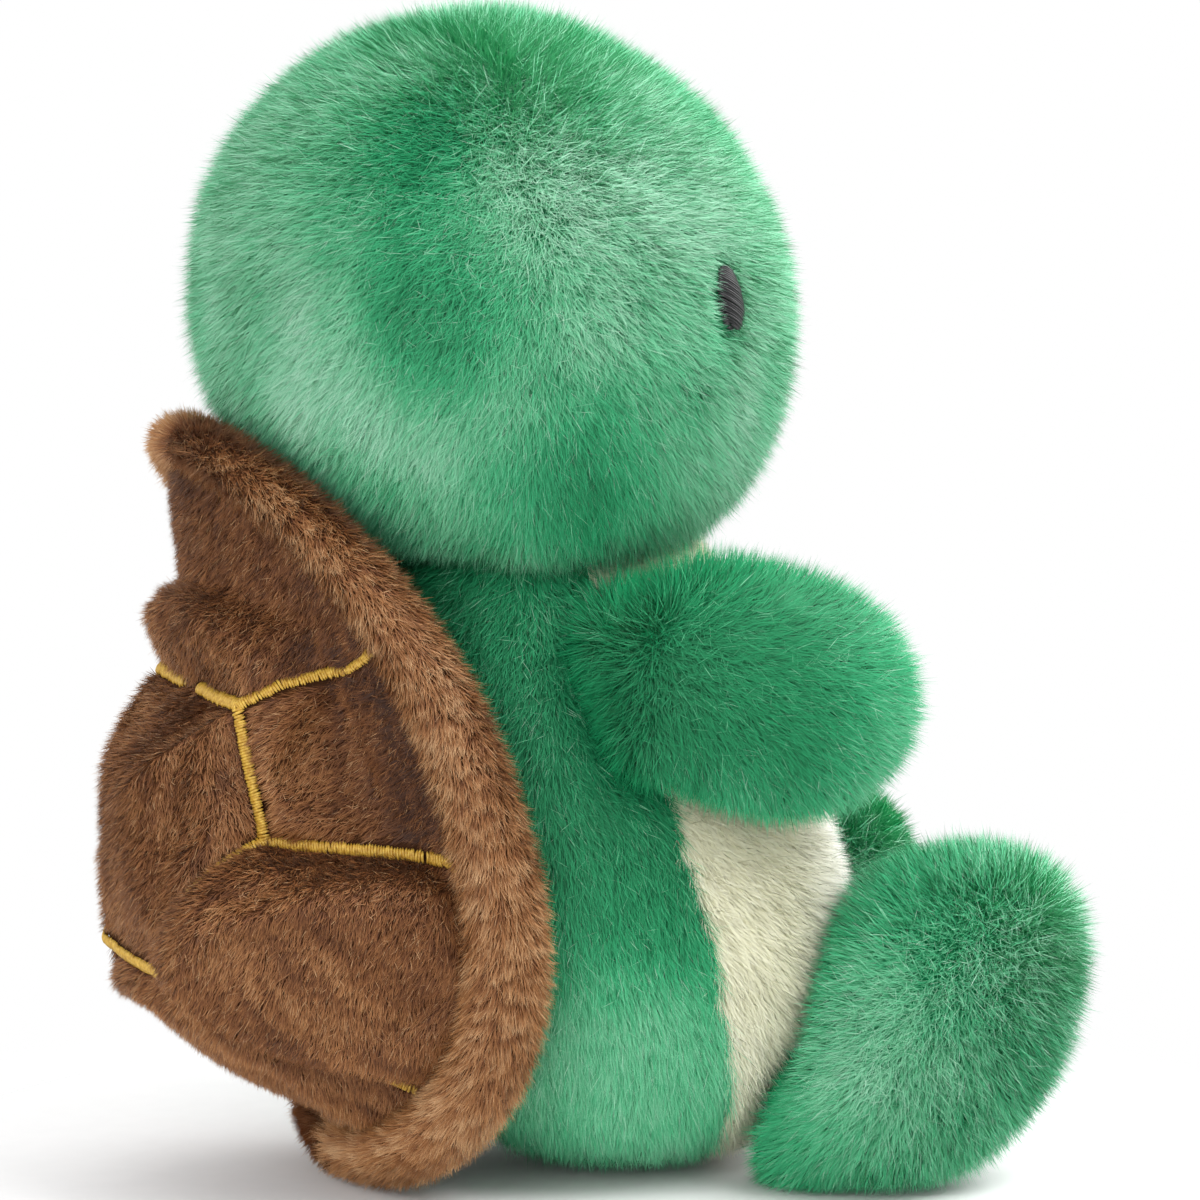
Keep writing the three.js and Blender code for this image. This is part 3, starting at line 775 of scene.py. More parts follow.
def thread_tubes(paths, radius):
    """Closed round threads, one along each path of points."""
    points, faces = [], []
    turn = np.arange(THREAD_SIDES) / THREAD_SIDES * math.tau
    cos, sin = np.cos(turn)[:, None], np.sin(turn)[:, None]
    for path in paths:
        run = unit(np.gradient(path, axis=0))
        first = unit(np.cross(run, [0.31, 0.62, 0.72]))
        second = np.cross(run, first)
        thick = radius * np.sqrt(np.clip(1 - np.linspace(-0.97, 0.97, len(path)) ** 6, 0.05, 1))
        ring = path[:, None] + thick[:, None, None] * (cos * first[:, None] + sin * second[:, None])
        shift = sum(len(block) for block in points)
        start = np.arange(len(path) * THREAD_SIDES).reshape(len(path), THREAD_SIDES)
        after = np.roll(start, -1, axis=1)
        quads = np.stack([start[:-1], start[1:], after[1:], after[:-1]], axis=-1).reshape(-1, 4)
        faces += (quads + shift).tolist()
        faces += [(start[0] + shift).tolist(), (start[-1][::-1] + shift).tolist()]
        points.append(ring.reshape(-1, 3))
    return np.concatenate(points), faces


def build_mouth():
    out = head.outward(mouth_line)
    across = np.cross(unit(np.gradient(mouth_line, axis=0)), out)
    paths = [mouth_line - out * MOUTH_SUNK + across * shift for shift in MOUTH_THREADS]
    piece = add_mesh("mouth_stitches", *thread_tubes(paths, MOUTH_THREAD))
    finish_piece(piece, black_thread, "head", "eye_thread")


def build_eye(eye):
    rng = np.random.default_rng(SEED + 40)
    paths = []
    sweep = np.linspace(-1, 1, 9)[:, None]
    for slant, lift in EYE_LAYERS:
        for level in np.arange(-0.96, 0.97, EYE_THREAD * EYE_STEP / EYE_HALF_HEIGHT):
            half = math.sqrt(max(1 - level * level, 0.01))
            wide = half * (1 + rng.normal(0, 0.03))
            up = level * EYE_HALF_HEIGHT + sweep * slant * half + rng.normal(0, 0.04)
            place = eye.at + sweep * wide * EYE_HALF_WIDTH * eye.across + up * eye.up
            rise = lift + EYE_ARCH * (1 - sweep ** 2) * half + rng.normal(0, 0.03) - EYE_SUNK
            place += head.outward(place) * head.depth(place)[:, None]
            paths.append(place + eye.out * rise)
    piece = add_mesh(eye.name + "_stitches", *thread_tubes(paths, EYE_THREAD))
    finish_piece(piece, black_thread, "head", "eye_thread")
    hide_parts(eye.name)


# Head

HEAD_PANELS = ("head_face_right", "head_face_left", "head_back_right", "head_back_left")
HEAD_TONE = 0.57
HEAD_LEAN = 0.62
BACK_LEAN = 0.2
FACE_FLOW = (0.1, -0.1, -1.0)
BACK_FLOW = (0.1, 0.5, -1.0)
STREAKS = np.array([4, 4, 9])
# the pile is cleared where it would root in the embroidery or lie over it, and is shorter near it
EYE_CLEAR = (1.08, 0.98)
MOUTH_CLEAR = (0.7, 0.6)
SHORTEST = 0.55
CHIN_LENGTH = 0.35
# the head's spots: patches where the pile's lay changes, with painted light and shade among them
HEAD_SPOTS = [
    (425, 110, 4.5, -0.24), (420, 180, 5.0, -0.26), (400, 290, 4.5, -0.26), (430, 345, 4.0, -0.18),
    (500, 300, 5.0, -0.10), (540, 450, 5.5, -0.20), (600, 500, 7.0, -0.24), (330, 100, 9.0, 0.10),
    (240, 250, 7.0, 0.08), (310, 300, 5.0, 0.10), (360, 400, 8.0, 0.12), (480, 420, 4.0, 0.10),
    (500, 110, 4.0, 0.14), (560, 180, 6.0, 0.14), (640, 120, 9.0, 0.12), (570, 300, 4.5, 0.08),
    (700, 220, 8.0, 0.10), (720, 420, 8.0, 0.14), (640, 300, 5.0, -0.06),
]


def build_head():
    rng = np.random.default_rng(SEED + 1)
    points, faces = head.skin(112, 72, -SKIN_INSET)
    seam = head.at[1] + FACE_SEAM_SETBACK
    middles = face_middles(points, faces)
    belongs = (middles[:, 1] > seam) * 2 + (middles[:, 0] > 0)
    kinds = [(node + "_cloth", node, green_cloth, "green_pile") for node in HEAD_PANELS]
    add_panels(points, faces, belongs, "head", kinds)
    whole = add_mesh("head_guide", points, faces)
    build_filling(whole, "head_stuffing", "head", PANEL_CLOTH + 0.3, 0, head.at[[0, 2]], 1)
    roots, normals = scatter(whole, PILE_DENSITY, rng)
    bpy.data.objects.remove(whole)
    keep = body.depth(roots + normals * 1.5) < -0.2
    roots, normals = roots[keep], normals[keep]
    behind = np.clip((roots[:, 1] - seam) / 8, -1, 1)
    weight = np.clip(behind * 1.5 + 0.5, 0, 1)[:, None]
    flow = mirrored_flow(roots, FACE_FLOW) * (1 - weight) + mirrored_flow(roots, BACK_FLOW) * weight
    flow = flattened(flow, normals)
    at_root, at_tip = MOUTH_CLEAR
    covered = (mouth_distance(roots) < at_root) | (mouth_distance(roots + flow * 1.3) < at_tip)
    at_root, at_tip = EYE_CLEAR
    for eye in eyes:
        covered |= (eye.reach(roots) < at_root) | (eye.reach(roots + flow * 1.4) < at_tip)
    roots, normals, flow = roots[~covered], normals[~covered], flow[~covered]
    tone = shaded(roots, HEAD_TONE, mirrored_spots(head, HEAD_SPOTS)) + noise(roots, 9, 4) * 0.10
    tone += noise(roots, 3, 6) * 0.06 + noise(roots, STREAKS, 14) * 0.12
    on_face = roots[:, 1] < seam
    near = np.minimum.reduce([eye.reach(roots) - 1 for eye in eyes] + [mouth_distance(roots) / 2])
    length = GREEN_LENGTH * (SHORTEST + (1 - SHORTEST) * np.clip(near / 0.8, 0, 1))
    length *= 1 + CHIN_LENGTH * np.clip(-normals[:, 2] - 0.35, 0, 1) * on_face
    lean = HEAD_LEAN + BACK_LEAN * np.clip((roots[:, 1] - seam) / 5 + 0.5, 0, 1)
    for name, part in (("head_face_pile", on_face), ("head_back_pile", ~on_face)):
        add_pile(name, (green_pile, "head", "green_pile"), rng, roots[part], normals[part], flow[part],
                 tone[part], length[part], lean[part], spread=0.5, straight=0.3)


# Body

BODY_TUFT = 1.8
BODY_FLOW = (0.1, 0.0, -1.0)
# the shoulders come up to meet the head, from this height on and over this much
SHOULDER_RISE = 7.0
SHOULDER_FROM = 48
SHOULDER_SPAN = 14
# green: tone at the top and how much paler it gets downwards, with a darker band at the waist
BODY_TONE = 0.12
BODY_PALER = 0.4
WAIST_SHADE = 0.12
WAIST_HEIGHT = 34
# cream: yellowish at the sides, and whiter and bluish in front, which is painted fill light
CREAM_TONE = 0.95
CREAM_PAINTED_FILL = 0.5


def belly_edge(height):
    """How far back the cream belly reaches at a height."""
    return BODY_LEAN - SIDE_SEAM_SETBACK + SIDE_SEAM_SLOPE * (height - SIDE_SEAM_HEIGHT)


def build_body():
    rng = np.random.default_rng(SEED + 2)
    points, faces = body.skin(112, 80, -SKIN_INSET)
    points[:, 2] = np.maximum(points[:, 2], CLOTH_FLOOR)
    points[:, 2] += SHOULDER_RISE * np.clip((points[:, 2] - SHOULDER_FROM) / SHOULDER_SPAN, 0, 1) ** 2
    for limb in limbs:
        points = push_in(points, limb.root, 0.4, np.array([0.0, 3.0, 40.0]))
    points = push_in(points, head, 0.8 - SKIN_INSET, np.array([0.0, 7.0, 30.0]))
    middles = face_middles(points, faces)
    belongs = np.where(middles[:, 1] < belly_edge(middles[:, 2]), 0, np.where(middles[:, 0] < 0, 1, 2))
    belongs = np.where(middles[:, 2] < BASE_SEAM_HEIGHT, 3, belongs)
    add_panels(points, faces, belongs, "body", [
        ("belly_cloth", "belly_panel", cream_cloth, "cream_pile"),
        ("body_side_right_cloth", "body_side_right", green_cloth, "green_pile"),
        ("body_side_left_cloth", "body_side_left", green_cloth, "green_pile"),
        ("base_cloth", "base_panel", green_cloth, "green_pile")])
    whole = add_mesh("body_guide", points, faces)
    roots, normals = scatter(whole, PILE_DENSITY, rng)
    bpy.data.objects.remove(whole)
    keep = head.depth(roots + normals) < 1.6
    for limb in limbs:
        keep &= limb.root.depth(roots) < -0.2
    keep &= rim_distance(roots + normals) > 0.2
    keep &= (roots[:, 1] <= 22) | (normals[:, 1] <= 0.3)
    keep &= roots[:, 2] > 0.6
    roots, normals = roots[keep], normals[keep]
    cream = roots[:, 1] < belly_edge(roots[:, 2]) + np.maximum(noise(roots, 2.0, 8) * 0.8, 0)
    flow = mirrored_flow(roots, BODY_FLOW)
    lower = np.clip((42 - roots[:, 2]) / 20, 0, 1)
    tone = BODY_TONE + BODY_PALER * lower * lower + noise(roots, 8, 9) * 0.10 + noise(roots, 3, 6) * 0.05
    tone -= WAIST_SHADE * np.exp(-((roots[:, 2] - WAIST_HEIGHT) / 5) ** 2)
    # painted shade in the creases next to the limbs
    for limb in limbs:
        tone -= CREASE_SHADE * np.exp(-(np.maximum(-limb.form.depth(roots), 0) / CREASE_REACH) ** 2)
    green = ~cream
    lean = 0.7 + 0.2 * lower
    add_pile("body_side_pile", (green_pile, "body", "green_pile"), rng, roots[green], normals[green],
             flow[green], tone[green], GREEN_LENGTH, lean[green], tuft_size=BODY_TUFT, spread=0.3)
    # painted fill light: whiter and bluish towards the front
    white = np.clip((-roots[:, 1] - 16) / 8, 0, 1)
    tone = CREAM_TONE - CREAM_PAINTED_FILL * white + noise(roots, 6, 3) * 0.08
    add_pile("belly_pile", (cream_pile, "body", "cream_pile"), rng, roots[cream], normals[cream],
             flow[cream], tone[cream], CREAM_LENGTH, 0.65, tuft_size=BODY_TUFT, spread=0.4)


# Limbs

LIMB_GRAIN = 0.9
LIMB_GAP = 0.6
LIMB_LEAN = 0.5
# the nap along each limb, mirrored on the right, and its tone before the spots
ARM_FLOW = (-0.25, -0.8, -0.5)
LEG_FLOW = (-0.25, 0.8, -0.55)
ARM_TONE = 0.12
LEG_TONE = 0.36
# painted light: paler under the arm and on the leg's inner side, lifting the shade there
ARM_UNDER_PAINTED_LIGHT = 0.25
LEG_INNER_PAINTED_LIGHT = 0.3
SHOULDER_LENGTH = 0.18
# the limbs' spots: the pile's own patches, with painted light on pale edges and painted shade low down
# and at the roots
ARM_SPOTS = [(620, 660, 5.0, -0.18), (700, 640, 6.0, -0.10), (860, 640, 5.0, 0.12), (900, 720, 4.0, 0.22),
             (880, 800, 4.0, 0.3), (640, 740, 5.0, -0.16), (760, 700, 6.0, -0.06)]
LEG_SPOTS = [(960, 900, 7.0, -0.06), (1000, 970, 6.0, 0.12), (860, 960, 5.0, 0.08),
             (850, 1080, 6.0, 0.16), (920, 1120, 7.0, 0.12), (1060, 930, 5.0, 0.28),
             (1080, 1050, 5.0, 0.1), (800, 1120, 4.0, -0.12)]


def build_limb(limb, number):
    rng = np.random.default_rng(SEED + 10 + number)
    is_arm = limb.name.startswith("arm")
    inner_root = Roll(limb.root.low, limb.root.high, limb.root.radius - SKIN_INSET * 0.7)
    points, faces = limb.form.skin(64, 48, -SKIN_INSET)
    root_points, root_faces = inner_root.skin(32, 24)
    faces += [[corner + len(points) for corner in face] for face in root_faces]
    guide = add_mesh(limb.name + "_guide", np.concatenate([points, root_points]), faces)
    remesh = guide.modifiers.new("join", "REMESH")
    remesh.mode = "VOXEL"
    remesh.voxel_size = LIMB_GRAIN * MM
    ease = guide.modifiers.new("ease", "SMOOTH")
    ease.iterations = 4
    apply_modifiers(guide)
    points = points_of(guide)
    outside = inner_root.depth(points) < -0.3
    moved = push_out(points, body, LIMB_GAP, limb.hinge, limb.axis, limb.swings)
    points = np.where(outside[:, None], moved, points)
    points[:, 2] = np.maximum(points[:, 2], CLOTH_FLOOR)
    set_points(guide, points)
    faces = [list(polygon.vertices) for polygon in guide.data.polygons]
    belongs = (face_middles(points, faces)[:, 0] - limb.form.at[0]) * limb.side < 0
    nodes = [limb.name + "_outer", limb.name + "_inner"]
    kinds = [(node + "_cloth", node, green_cloth, "green_pile") for node in nodes]
    add_panels(points, faces, belongs, limb.name, kinds)
    guide.data.update()
    roots, normals = scatter(guide, PILE_DENSITY, rng)
    bpy.data.objects.remove(guide)
    keep = (body.depth(roots) < -0.3) & (limb.root.depth(roots) < 2.5) & (roots[:, 2] > 0.5)
    roots, normals = roots[keep], normals[keep]
    across, along, rise = ARM_FLOW if is_arm else LEG_FLOW
    flow = np.tile([limb.side * across, along, rise], (len(roots), 1))
    if is_arm:
        tone = shaded(roots, ARM_TONE, mirrored_spots(limbs[0].form, ARM_SPOTS))
        # paler under the arm: painted light lifting its shade
        tone += ARM_UNDER_PAINTED_LIGHT * np.clip((limb.form.at[2] - 6 - roots[:, 2]) / 6, 0, 1)
    else:
        tone = shaded(roots, LEG_TONE, mirrored_spots(limbs[2].form, LEG_SPOTS))
        # paler on the leg's inner side: painted light lifting its shade
        tone += LEG_INNER_PAINTED_LIGHT * np.clip(-limb.side * normals[:, 0], 0, 1)
    tone += noise(roots, 7, 9) * 0.10 + noise(roots, 2.5, 6) * 0.06
    near_shoulder = np.clip((roots[:, 1] - limb.form.at[1]) / 6, 0, 1)
    length = GREEN_LENGTH * (1 + SHOULDER_LENGTH * is_arm * np.clip(normals[:, 2], 0, 1) * near_shoulder)
    # the pile lies as flat as the room between the limb and the body asks for
    room = -body.depth(roots)
    # painted shade in the crease between the limb and the body
    tone -= CREASE_SHADE * np.exp(-(room / CREASE_REACH) ** 2)
    lean = np.maximum(LIMB_LEAN, np.arccos(np.clip(room * 0.9 / length, 0.1, 1)))
    add_pile(limb.name + "_pile", (green_pile, limb.name, "green_pile"), rng, roots, normals, flow, tone,
             length, lean, spread=0.6)


# Shell: its rolled rim

RIM_HALF_WIDTH = 30
RIM_TOP = 80.6
RIM_SETBACK = 33.2
RIM_LEAN_BACK = 9.2
RIM_SIDE_HUG = 13.4
RIM_FULLNESS = 2.3
RIM_PINCH = 0.1
RIM_HALF_DEPTH = 5.2
RIM_HALF_BREADTH = 4.3
RIM_THIN = 0.26
RIM_STATIONS = 240
RIM_SIDES = 36
RIM_INSET = 1.1
RIM_PILE = 1.9
RIM_TONE = 0.72
# painted light: the rim's pile is paler on faces turned backwards
RIM_BACK_PAINTED_LIGHT = 0.12
DOME_HEIGHT = 39.4
SHELL_PILE = 1.35
SHELL_FIBRE = 0.11
SHELL_TUFTS = np.array([1.1, 1.1, 0.6])
RIM_TUFTS = SHELL_TUFTS * 1.1
TUFT_SHADE = 0.32


def rim_middle(share):
    """The middle line of the rolled rim, from its top round by the left side."""
    turn = np.asarray(share) * math.tau
    bottom = RIM_HALF_BREADTH - 0.5
    middle = (RIM_TOP + bottom) / 2
    up, out = np.cos(turn), np.sin(turn)
    full = (np.abs(up) ** RIM_FULLNESS + np.abs(out) ** RIM_FULLNESS) ** (-1 / RIM_FULLNESS)
    up, out = up * full, out * full
    return np.stack([RIM_HALF_WIDTH * out * (1 - RIM_PINCH * up),
                     RIM_SETBACK + RIM_LEAN_BACK * up - RIM_SIDE_HUG * out * out,
                     middle + (middle - bottom) * up], axis=-1)


def rim_thinness(share):
    """The rim's share of its full thickness, thinner at its two ends."""
    return 1 - RIM_THIN * np.cos(np.asarray(share) * math.pi) ** 4


rim_line = rim_middle(np.arange(RIM_STATIONS) / RIM_STATIONS)


def rim_distance(points):
    """How far each point is outside the rolled rim."""
    return nearest_of(points, rim_line)[1] - RIM_HALF_DEPTH


def push_in_rim(points):
    """Clears points of the head, the body and the floor."""
    points = points.copy()
    for form, gap in ((head, 0.4), (body, 0.3)):
        move_outward(points, form, gap, 4)
    points[:, 2] = np.maximum(points[:, 2], CLOTH_FLOOR)
    return points


def rim_skin():
    shares = np.arange(RIM_STATIONS) / RIM_STATIONS
    step = 0.5 / RIM_STATIONS
    middle = rim_middle(shares)
    run = unit(rim_middle(shares + step) - rim_middle(shares - step))
    out = unit(np.stack([middle[:, 0], np.zeros(RIM_STATIONS), middle[:, 2] - DOME_HEIGHT], axis=1))
    back = unit(np.cross(out, run))
    out = np.cross(run, back)
    thin = rim_thinness(shares)[:, None, None]
    turn = np.arange(RIM_SIDES) / RIM_SIDES * math.tau
    breadth = np.cos(turn)[:, None] * (RIM_HALF_BREADTH * thin - RIM_INSET)
    depth = np.sin(turn)[:, None] * (RIM_HALF_DEPTH * thin - RIM_INSET)
    points = middle[:, None] + out[:, None] * breadth + back[:, None] * depth
    start = np.arange(RIM_STATIONS * RIM_SIDES).reshape(RIM_STATIONS, RIM_SIDES)
    down, across = np.roll(start, -1, axis=0), np.roll(start, -1, axis=1)
    both = np.roll(down, -1, axis=1)
    return points.reshape(-1, 3), np.stack([start, down, both, across], axis=-1).reshape(-1, 4).tolist()


def build_rim():
    rng = np.random.default_rng(SEED + 30)
    points, faces = rim_skin()
    rim = add_mesh("shell_rim_cloth", push_in_rim(points), faces)
    finish_padded(rim, brown_cloth, "body", "brown_pile", "shell_rim")
    roots, normals = scatter(rim, SHELL_DENSITY, rng)
    keep = (body.depth(roots + normals) < 0.5) & (head.depth(roots + normals) < 0.5)
    roots, normals = roots[keep], normals[keep]
    nearest = nearest_of(roots, rim_line)[0]
    run = unit(rim_line[(nearest + 2) % RIM_STATIONS] - rim_line[nearest - 2])
    flow = np.where(run[:, 2:] > 0, -run, run) + np.array([0, 0.35, 0])
    tone = RIM_TONE + noise(roots, 9, 4) * 0.10 + noise(roots, RIM_TUFTS, 3) * TUFT_SHADE
    # painted light on the rim's faces turned backwards
    tone += np.clip(normals[:, 1] - 0.2, 0, 1) * RIM_BACK_PAINTED_LIGHT
    add_pile("shell_rim_pile", (brown_pile, "body", "brown_pile"), rng, roots, normals, flow, tone,
             RIM_PILE, 0.85, width=SHELL_FIBRE, tuft=0.8, tuft_size=RIM_TUFTS)


# The shell's lining, which spans the rim

LINING_BULGE = 2.4
LINING_TUCK = 1.3
LINING_CLOTH = 1.2
LINING_RINGS = 20
LINING_COLUMNS = 120
LINING_PILE = 1.6
LINING_TONE = 0.3
lining_middle = np.array([0, RIM_SETBACK + LINING_BULGE, (RIM_TOP + RIM_HALF_BREADTH) / 2])


def lining_points(reach, around, behind):
    """Points of the lining: reach is 1 at the rim and 0 in its middle."""
    edge = rim_middle(around)
    gap = np.linalg.norm(edge - lining_middle, axis=-1, keepdims=True)
    inner = RIM_HALF_BREADTH * rim_thinness(around)[..., None] - LINING_TUCK
    edge = edge + (lining_middle - edge) * inner / gap
    points = lining_middle + (edge - lining_middle) * reach[..., None]
    points[..., 1] += LINING_BULGE * (1 - reach ** 2) + behind
    return points


def lining_grid(rings, columns, behind):
    reach, around = np.linspace(0, 1, rings + 1)[1:], np.arange(columns) / columns
    reach, around = np.meshgrid(reach, around, indexing="ij")
    return lining_points(reach, around, behind).reshape(-1, 3)


lining_cloud = lining_grid(24, 96, LINING_CLOTH + 0.3)


def lining_depth(points):
    """How far each point lies in front of the lining's back face."""
    nearest = nearest_of(points[:, [0, 2]], lining_cloud[:, [0, 2]])[0]
    return lining_cloud[nearest, 1] - points[:, 1]


def build_lining():
    rng = np.random.default_rng(SEED + 31)
    sides = (0.0, LINING_CLOTH)
    grids = [push_in_rim(lining_grid(LINING_RINGS, LINING_COLUMNS, behind)) for behind in sides]
    front, back = (grid.reshape(LINING_RINGS, LINING_COLUMNS, 3) for grid in grids)
    centre = push_in_rim(np.array([lining_middle + [0, LINING_BULGE + behind, 0] for behind in sides]))
    points = np.concatenate([np.concatenate([front, back[::-1]]).reshape(-1, 3), centre])
    lining = add_mesh("shell_lining_cloth", points, loft_faces(LINING_RINGS * 2, LINING_COLUMNS))
    finish_padded(lining, brown_cloth, "body", "brown_lining", "shell_lining")
    roots, normals = scatter(lining, LINING_DENSITY, rng)
    keep = (normals[:, 1] > 0.2) & (rim_distance(roots) > -1)
    roots, normals = roots[keep], normals[keep]
    flow = np.broadcast_to([0.0, 0.0, -1.0], roots.shape)
    tone = LINING_TONE + noise(roots, 6, 4) * 0.12 + noise(roots, 1.2, 6) * 0.12
    add_pile("shell_lining_pile", (brown_pile, "body", "brown_lining"), rng, roots, normals, flow, tone,
             LINING_PILE, 0.8, width=SHELL_FIBRE, tuft=0.6, tuft_size=SHELL_TUFTS)


# The shell's quilted dome

# corners of the middle scute on one side, and how far round to the rim's foot the lines from them end
SCUTE_CORNERS = np.array([[14.0, 41.6, 54.3], [15.0, 39.0, 39.9], [12.5, 48.6, 25.6]])
SCUTE_LINES = [0.32, 0.53, 0.8]
DOME_MIDDLE = np.array([0, 52.0, 41.5])
DOME_HEART = np.array([0, 18, 37])
MIDDLE_PUFF = 1.2
# for each outer scute from the top round by the left side: how far it bulges, where most, where and how
# the bulge falls off, how far back its inner line is drawn in the middle, its own swell that way, how far
# it and the line before it sag towards the rim, and from where on
SCUTES = np.array([
    [4.3, 0.20, 0.66, 0.9, 0.0, 0.0, 6.0, 4.0, 0.30],
    [2.0, 0.30, 0.80, 1.2, 0.0, 0.0, 5.0, 4.0, 0.15],
    [4.6, 0.42, 1.00, 2.6, 0.0, 0.0, 0.0, 0.0, 0.00],
    [4.6, 0.40, 1.00, 2.2, 0.5, 0.5, 0.0, 0.0, 0.00],
    [6.2, 0.42, 1.00, 2.6, 4.0, 3.0, 0.0, 0.0, 0.00],
    [2.0, 0.30, 0.80, 1.2, 0.0, 0.0, 5.0, 0.0, 0.15],
])
# how round a scute is along its rise and how square across it
SCUTE_ROUND = 2.6
SCUTE_SQUARE = 3.2
# which way the pile of each outer scute lies on the left side, then the middle scute's
SCUTE_FLOWS = np.array([[0.1, 0.6, -1.0], [0, 0.9, -0.35], [0, 0.45, -1.0], [0, -0.1, -1.0],
                        [0, 0.45, -1.0], [0, 0.9, -0.35], [0, -0.1, -1.0]])
SEAM_DEPTH = 1.2
SHELL_WALL = 1.4
DOME_TONE = 0.49
# painted shade in the creases along the stitched lines
LINE_SHADE = 0.12
RIB_LENGTH = 2.6
RIB_WIDTH = 0.6
# painted shade in the recess between the dome and the rim
RECESS_SHADE = 0.6
DOME_RINGS = (14, 26, 8)
SCUTE_COLUMNS = 26
# the cloth simulation that swells the dome, and how far it may move
SWELL_FRAMES = 20
SWELL_CAP = 1.6
SWELL_SETTINGS = {
    "quality": 6, "mass": 0.2, "tension_stiffness": 8, "compression_stiffness": 8, "shear_stiffness": 4,
    "bending_stiffness": 0.02, "shrink_min": -0.07, "use_pressure": True, "uniform_pressure_force": 4,
}
# stitches across the lines: their length, how close they lie, their thread and their arch over the cloth
STITCH_LENGTH = 1.45
STITCH_STEP = 0.3
STITCH_THREAD = 0.17
STITCH_SLANT = 0.12
STITCH_FOOT = 0.4
STITCH_ARCH = 0.35
# the pile keeps clear of the lines where it roots and where its tips reach
LINE_CLEAR = (0.8, 0.9)
scute_corners = np.concatenate([SCUTE_CORNERS, SCUTE_CORNERS[::-1] * [-1, 1, 1]])
left_turns = [share / 2 for share in SCUTE_LINES]
scute_turns = np.array(left_turns + [1 - turn for turn in left_turns[::-1]])


def dome_seam(shares):
    """The seam that joins the dome to the rolled rim."""
    middle = rim_middle(shares)
    inward = np.stack([-middle[..., 0], np.zeros(shares.shape), DOME_HEIGHT - middle[..., 2]], axis=-1)
    inner = RIM_HALF_BREADTH * rim_thinness(shares)[..., None] - SEAM_DEPTH
    return middle + unit(inward) * inner + [0, SEAM_DEPTH, 0]


def dome_points(ring, column):
    """The dome: ring is 0 to 1 over the middle scute, 1 to 2 over the outer ones, 2 to 3 in front."""
    ring, column = np.broadcast_arrays(np.asarray(ring, float), np.asarray(column, float) % 6)
    sector = np.floor(column).astype(int)
    share = column - sector
    puff, peak, end, fall, bow, back, sag, line_sag, sag_start = np.moveaxis(SCUTES[sector], -1, 0)
    corner = scute_corners[sector - 1]
    edge = corner + (scute_corners[sector] - corner) * share[..., None]
    edge[..., 1] += bow * (1 - (share * 2 - 1) ** 2)
    low = np.where(sector == 0, scute_turns[5] - 1, scute_turns[sector - 1])
    around = low + (scute_turns[sector] - low) * share
    inner, outer, front = np.clip(ring, 0, 1), np.clip(ring - 1, 0, 1), np.clip(ring - 2, 0, 1)

    points = DOME_MIDDLE + (edge - DOME_MIDDLE) * inner[..., None]
    points[..., 1] += (edge[..., 1] - DOME_MIDDLE[1]) * (inner ** SCUTE_ROUND - inner)
    points += [0, 1, 0] * (MIDDLE_PUFF * (1 - inner ** 4))[..., None]

    wide = 1 - np.abs(share * 2 - 1) ** SCUTE_SQUARE
    rise = 1 - (1 - np.clip(outer / peak, 0, 1)) ** SCUTE_ROUND
    rise *= 1 - np.clip((outer - peak) / (end - peak), 0, 1) ** fall
    bulged = edge + (dome_seam(around) - edge) * outer[..., None]
    bulged += (unit(bulged - DOME_HEART) * puff[..., None]
               + np.array([0, 1, 0]) * back[..., None]) * (wide * rise)[..., None]
    line_sag = line_sag * (1 - share) + np.roll(SCUTES[:, 7], -1)[sector] * share
    deep = np.sin(math.pi * np.clip((outer - sag_start) / (1 - sag_start), 0, 1))
    bulged[..., 1] -= (sag * wide + line_sag * (1 - wide)) * deep
    points = np.where(ring[..., None] > 1, bulged, points)

    facing = lining_points(1 - front, around, LINING_CLOTH + 0.4)
    return np.where(ring[..., None] > 2, facing, points)


def swell(piece, held):
    """Cloth simulation: the stuffing presses the cloth out between its seams, which are held."""
    still = points_of(piece)
    group = piece.vertex_groups.new(name="held")
    group.add([int(i) for i in np.flatnonzero(held)], 1.0, "REPLACE")
    cloth = piece.modifiers.new("cloth", "CLOTH")
    for name, value in SWELL_SETTINGS.items():
        setattr(cloth.settings, name, value)
    cloth.settings.vertex_group_mass = "held"
    cloth.settings.effector_weights.gravity = 0
    cloth.collision_settings.use_collision = False
    scene = bpy.context.scene
    for number in range(1, SWELL_FRAMES + 1):
        scene.frame_set(number)
    apply_modifiers(piece)
    moved = points_of(piece) - still
    far = np.linalg.norm(moved, axis=1, keepdims=True)
    moved *= np.minimum(1, SWELL_CAP / np.maximum(far, 1e-6))
    set_points(piece, still + moved)
    scene.frame_set(1)


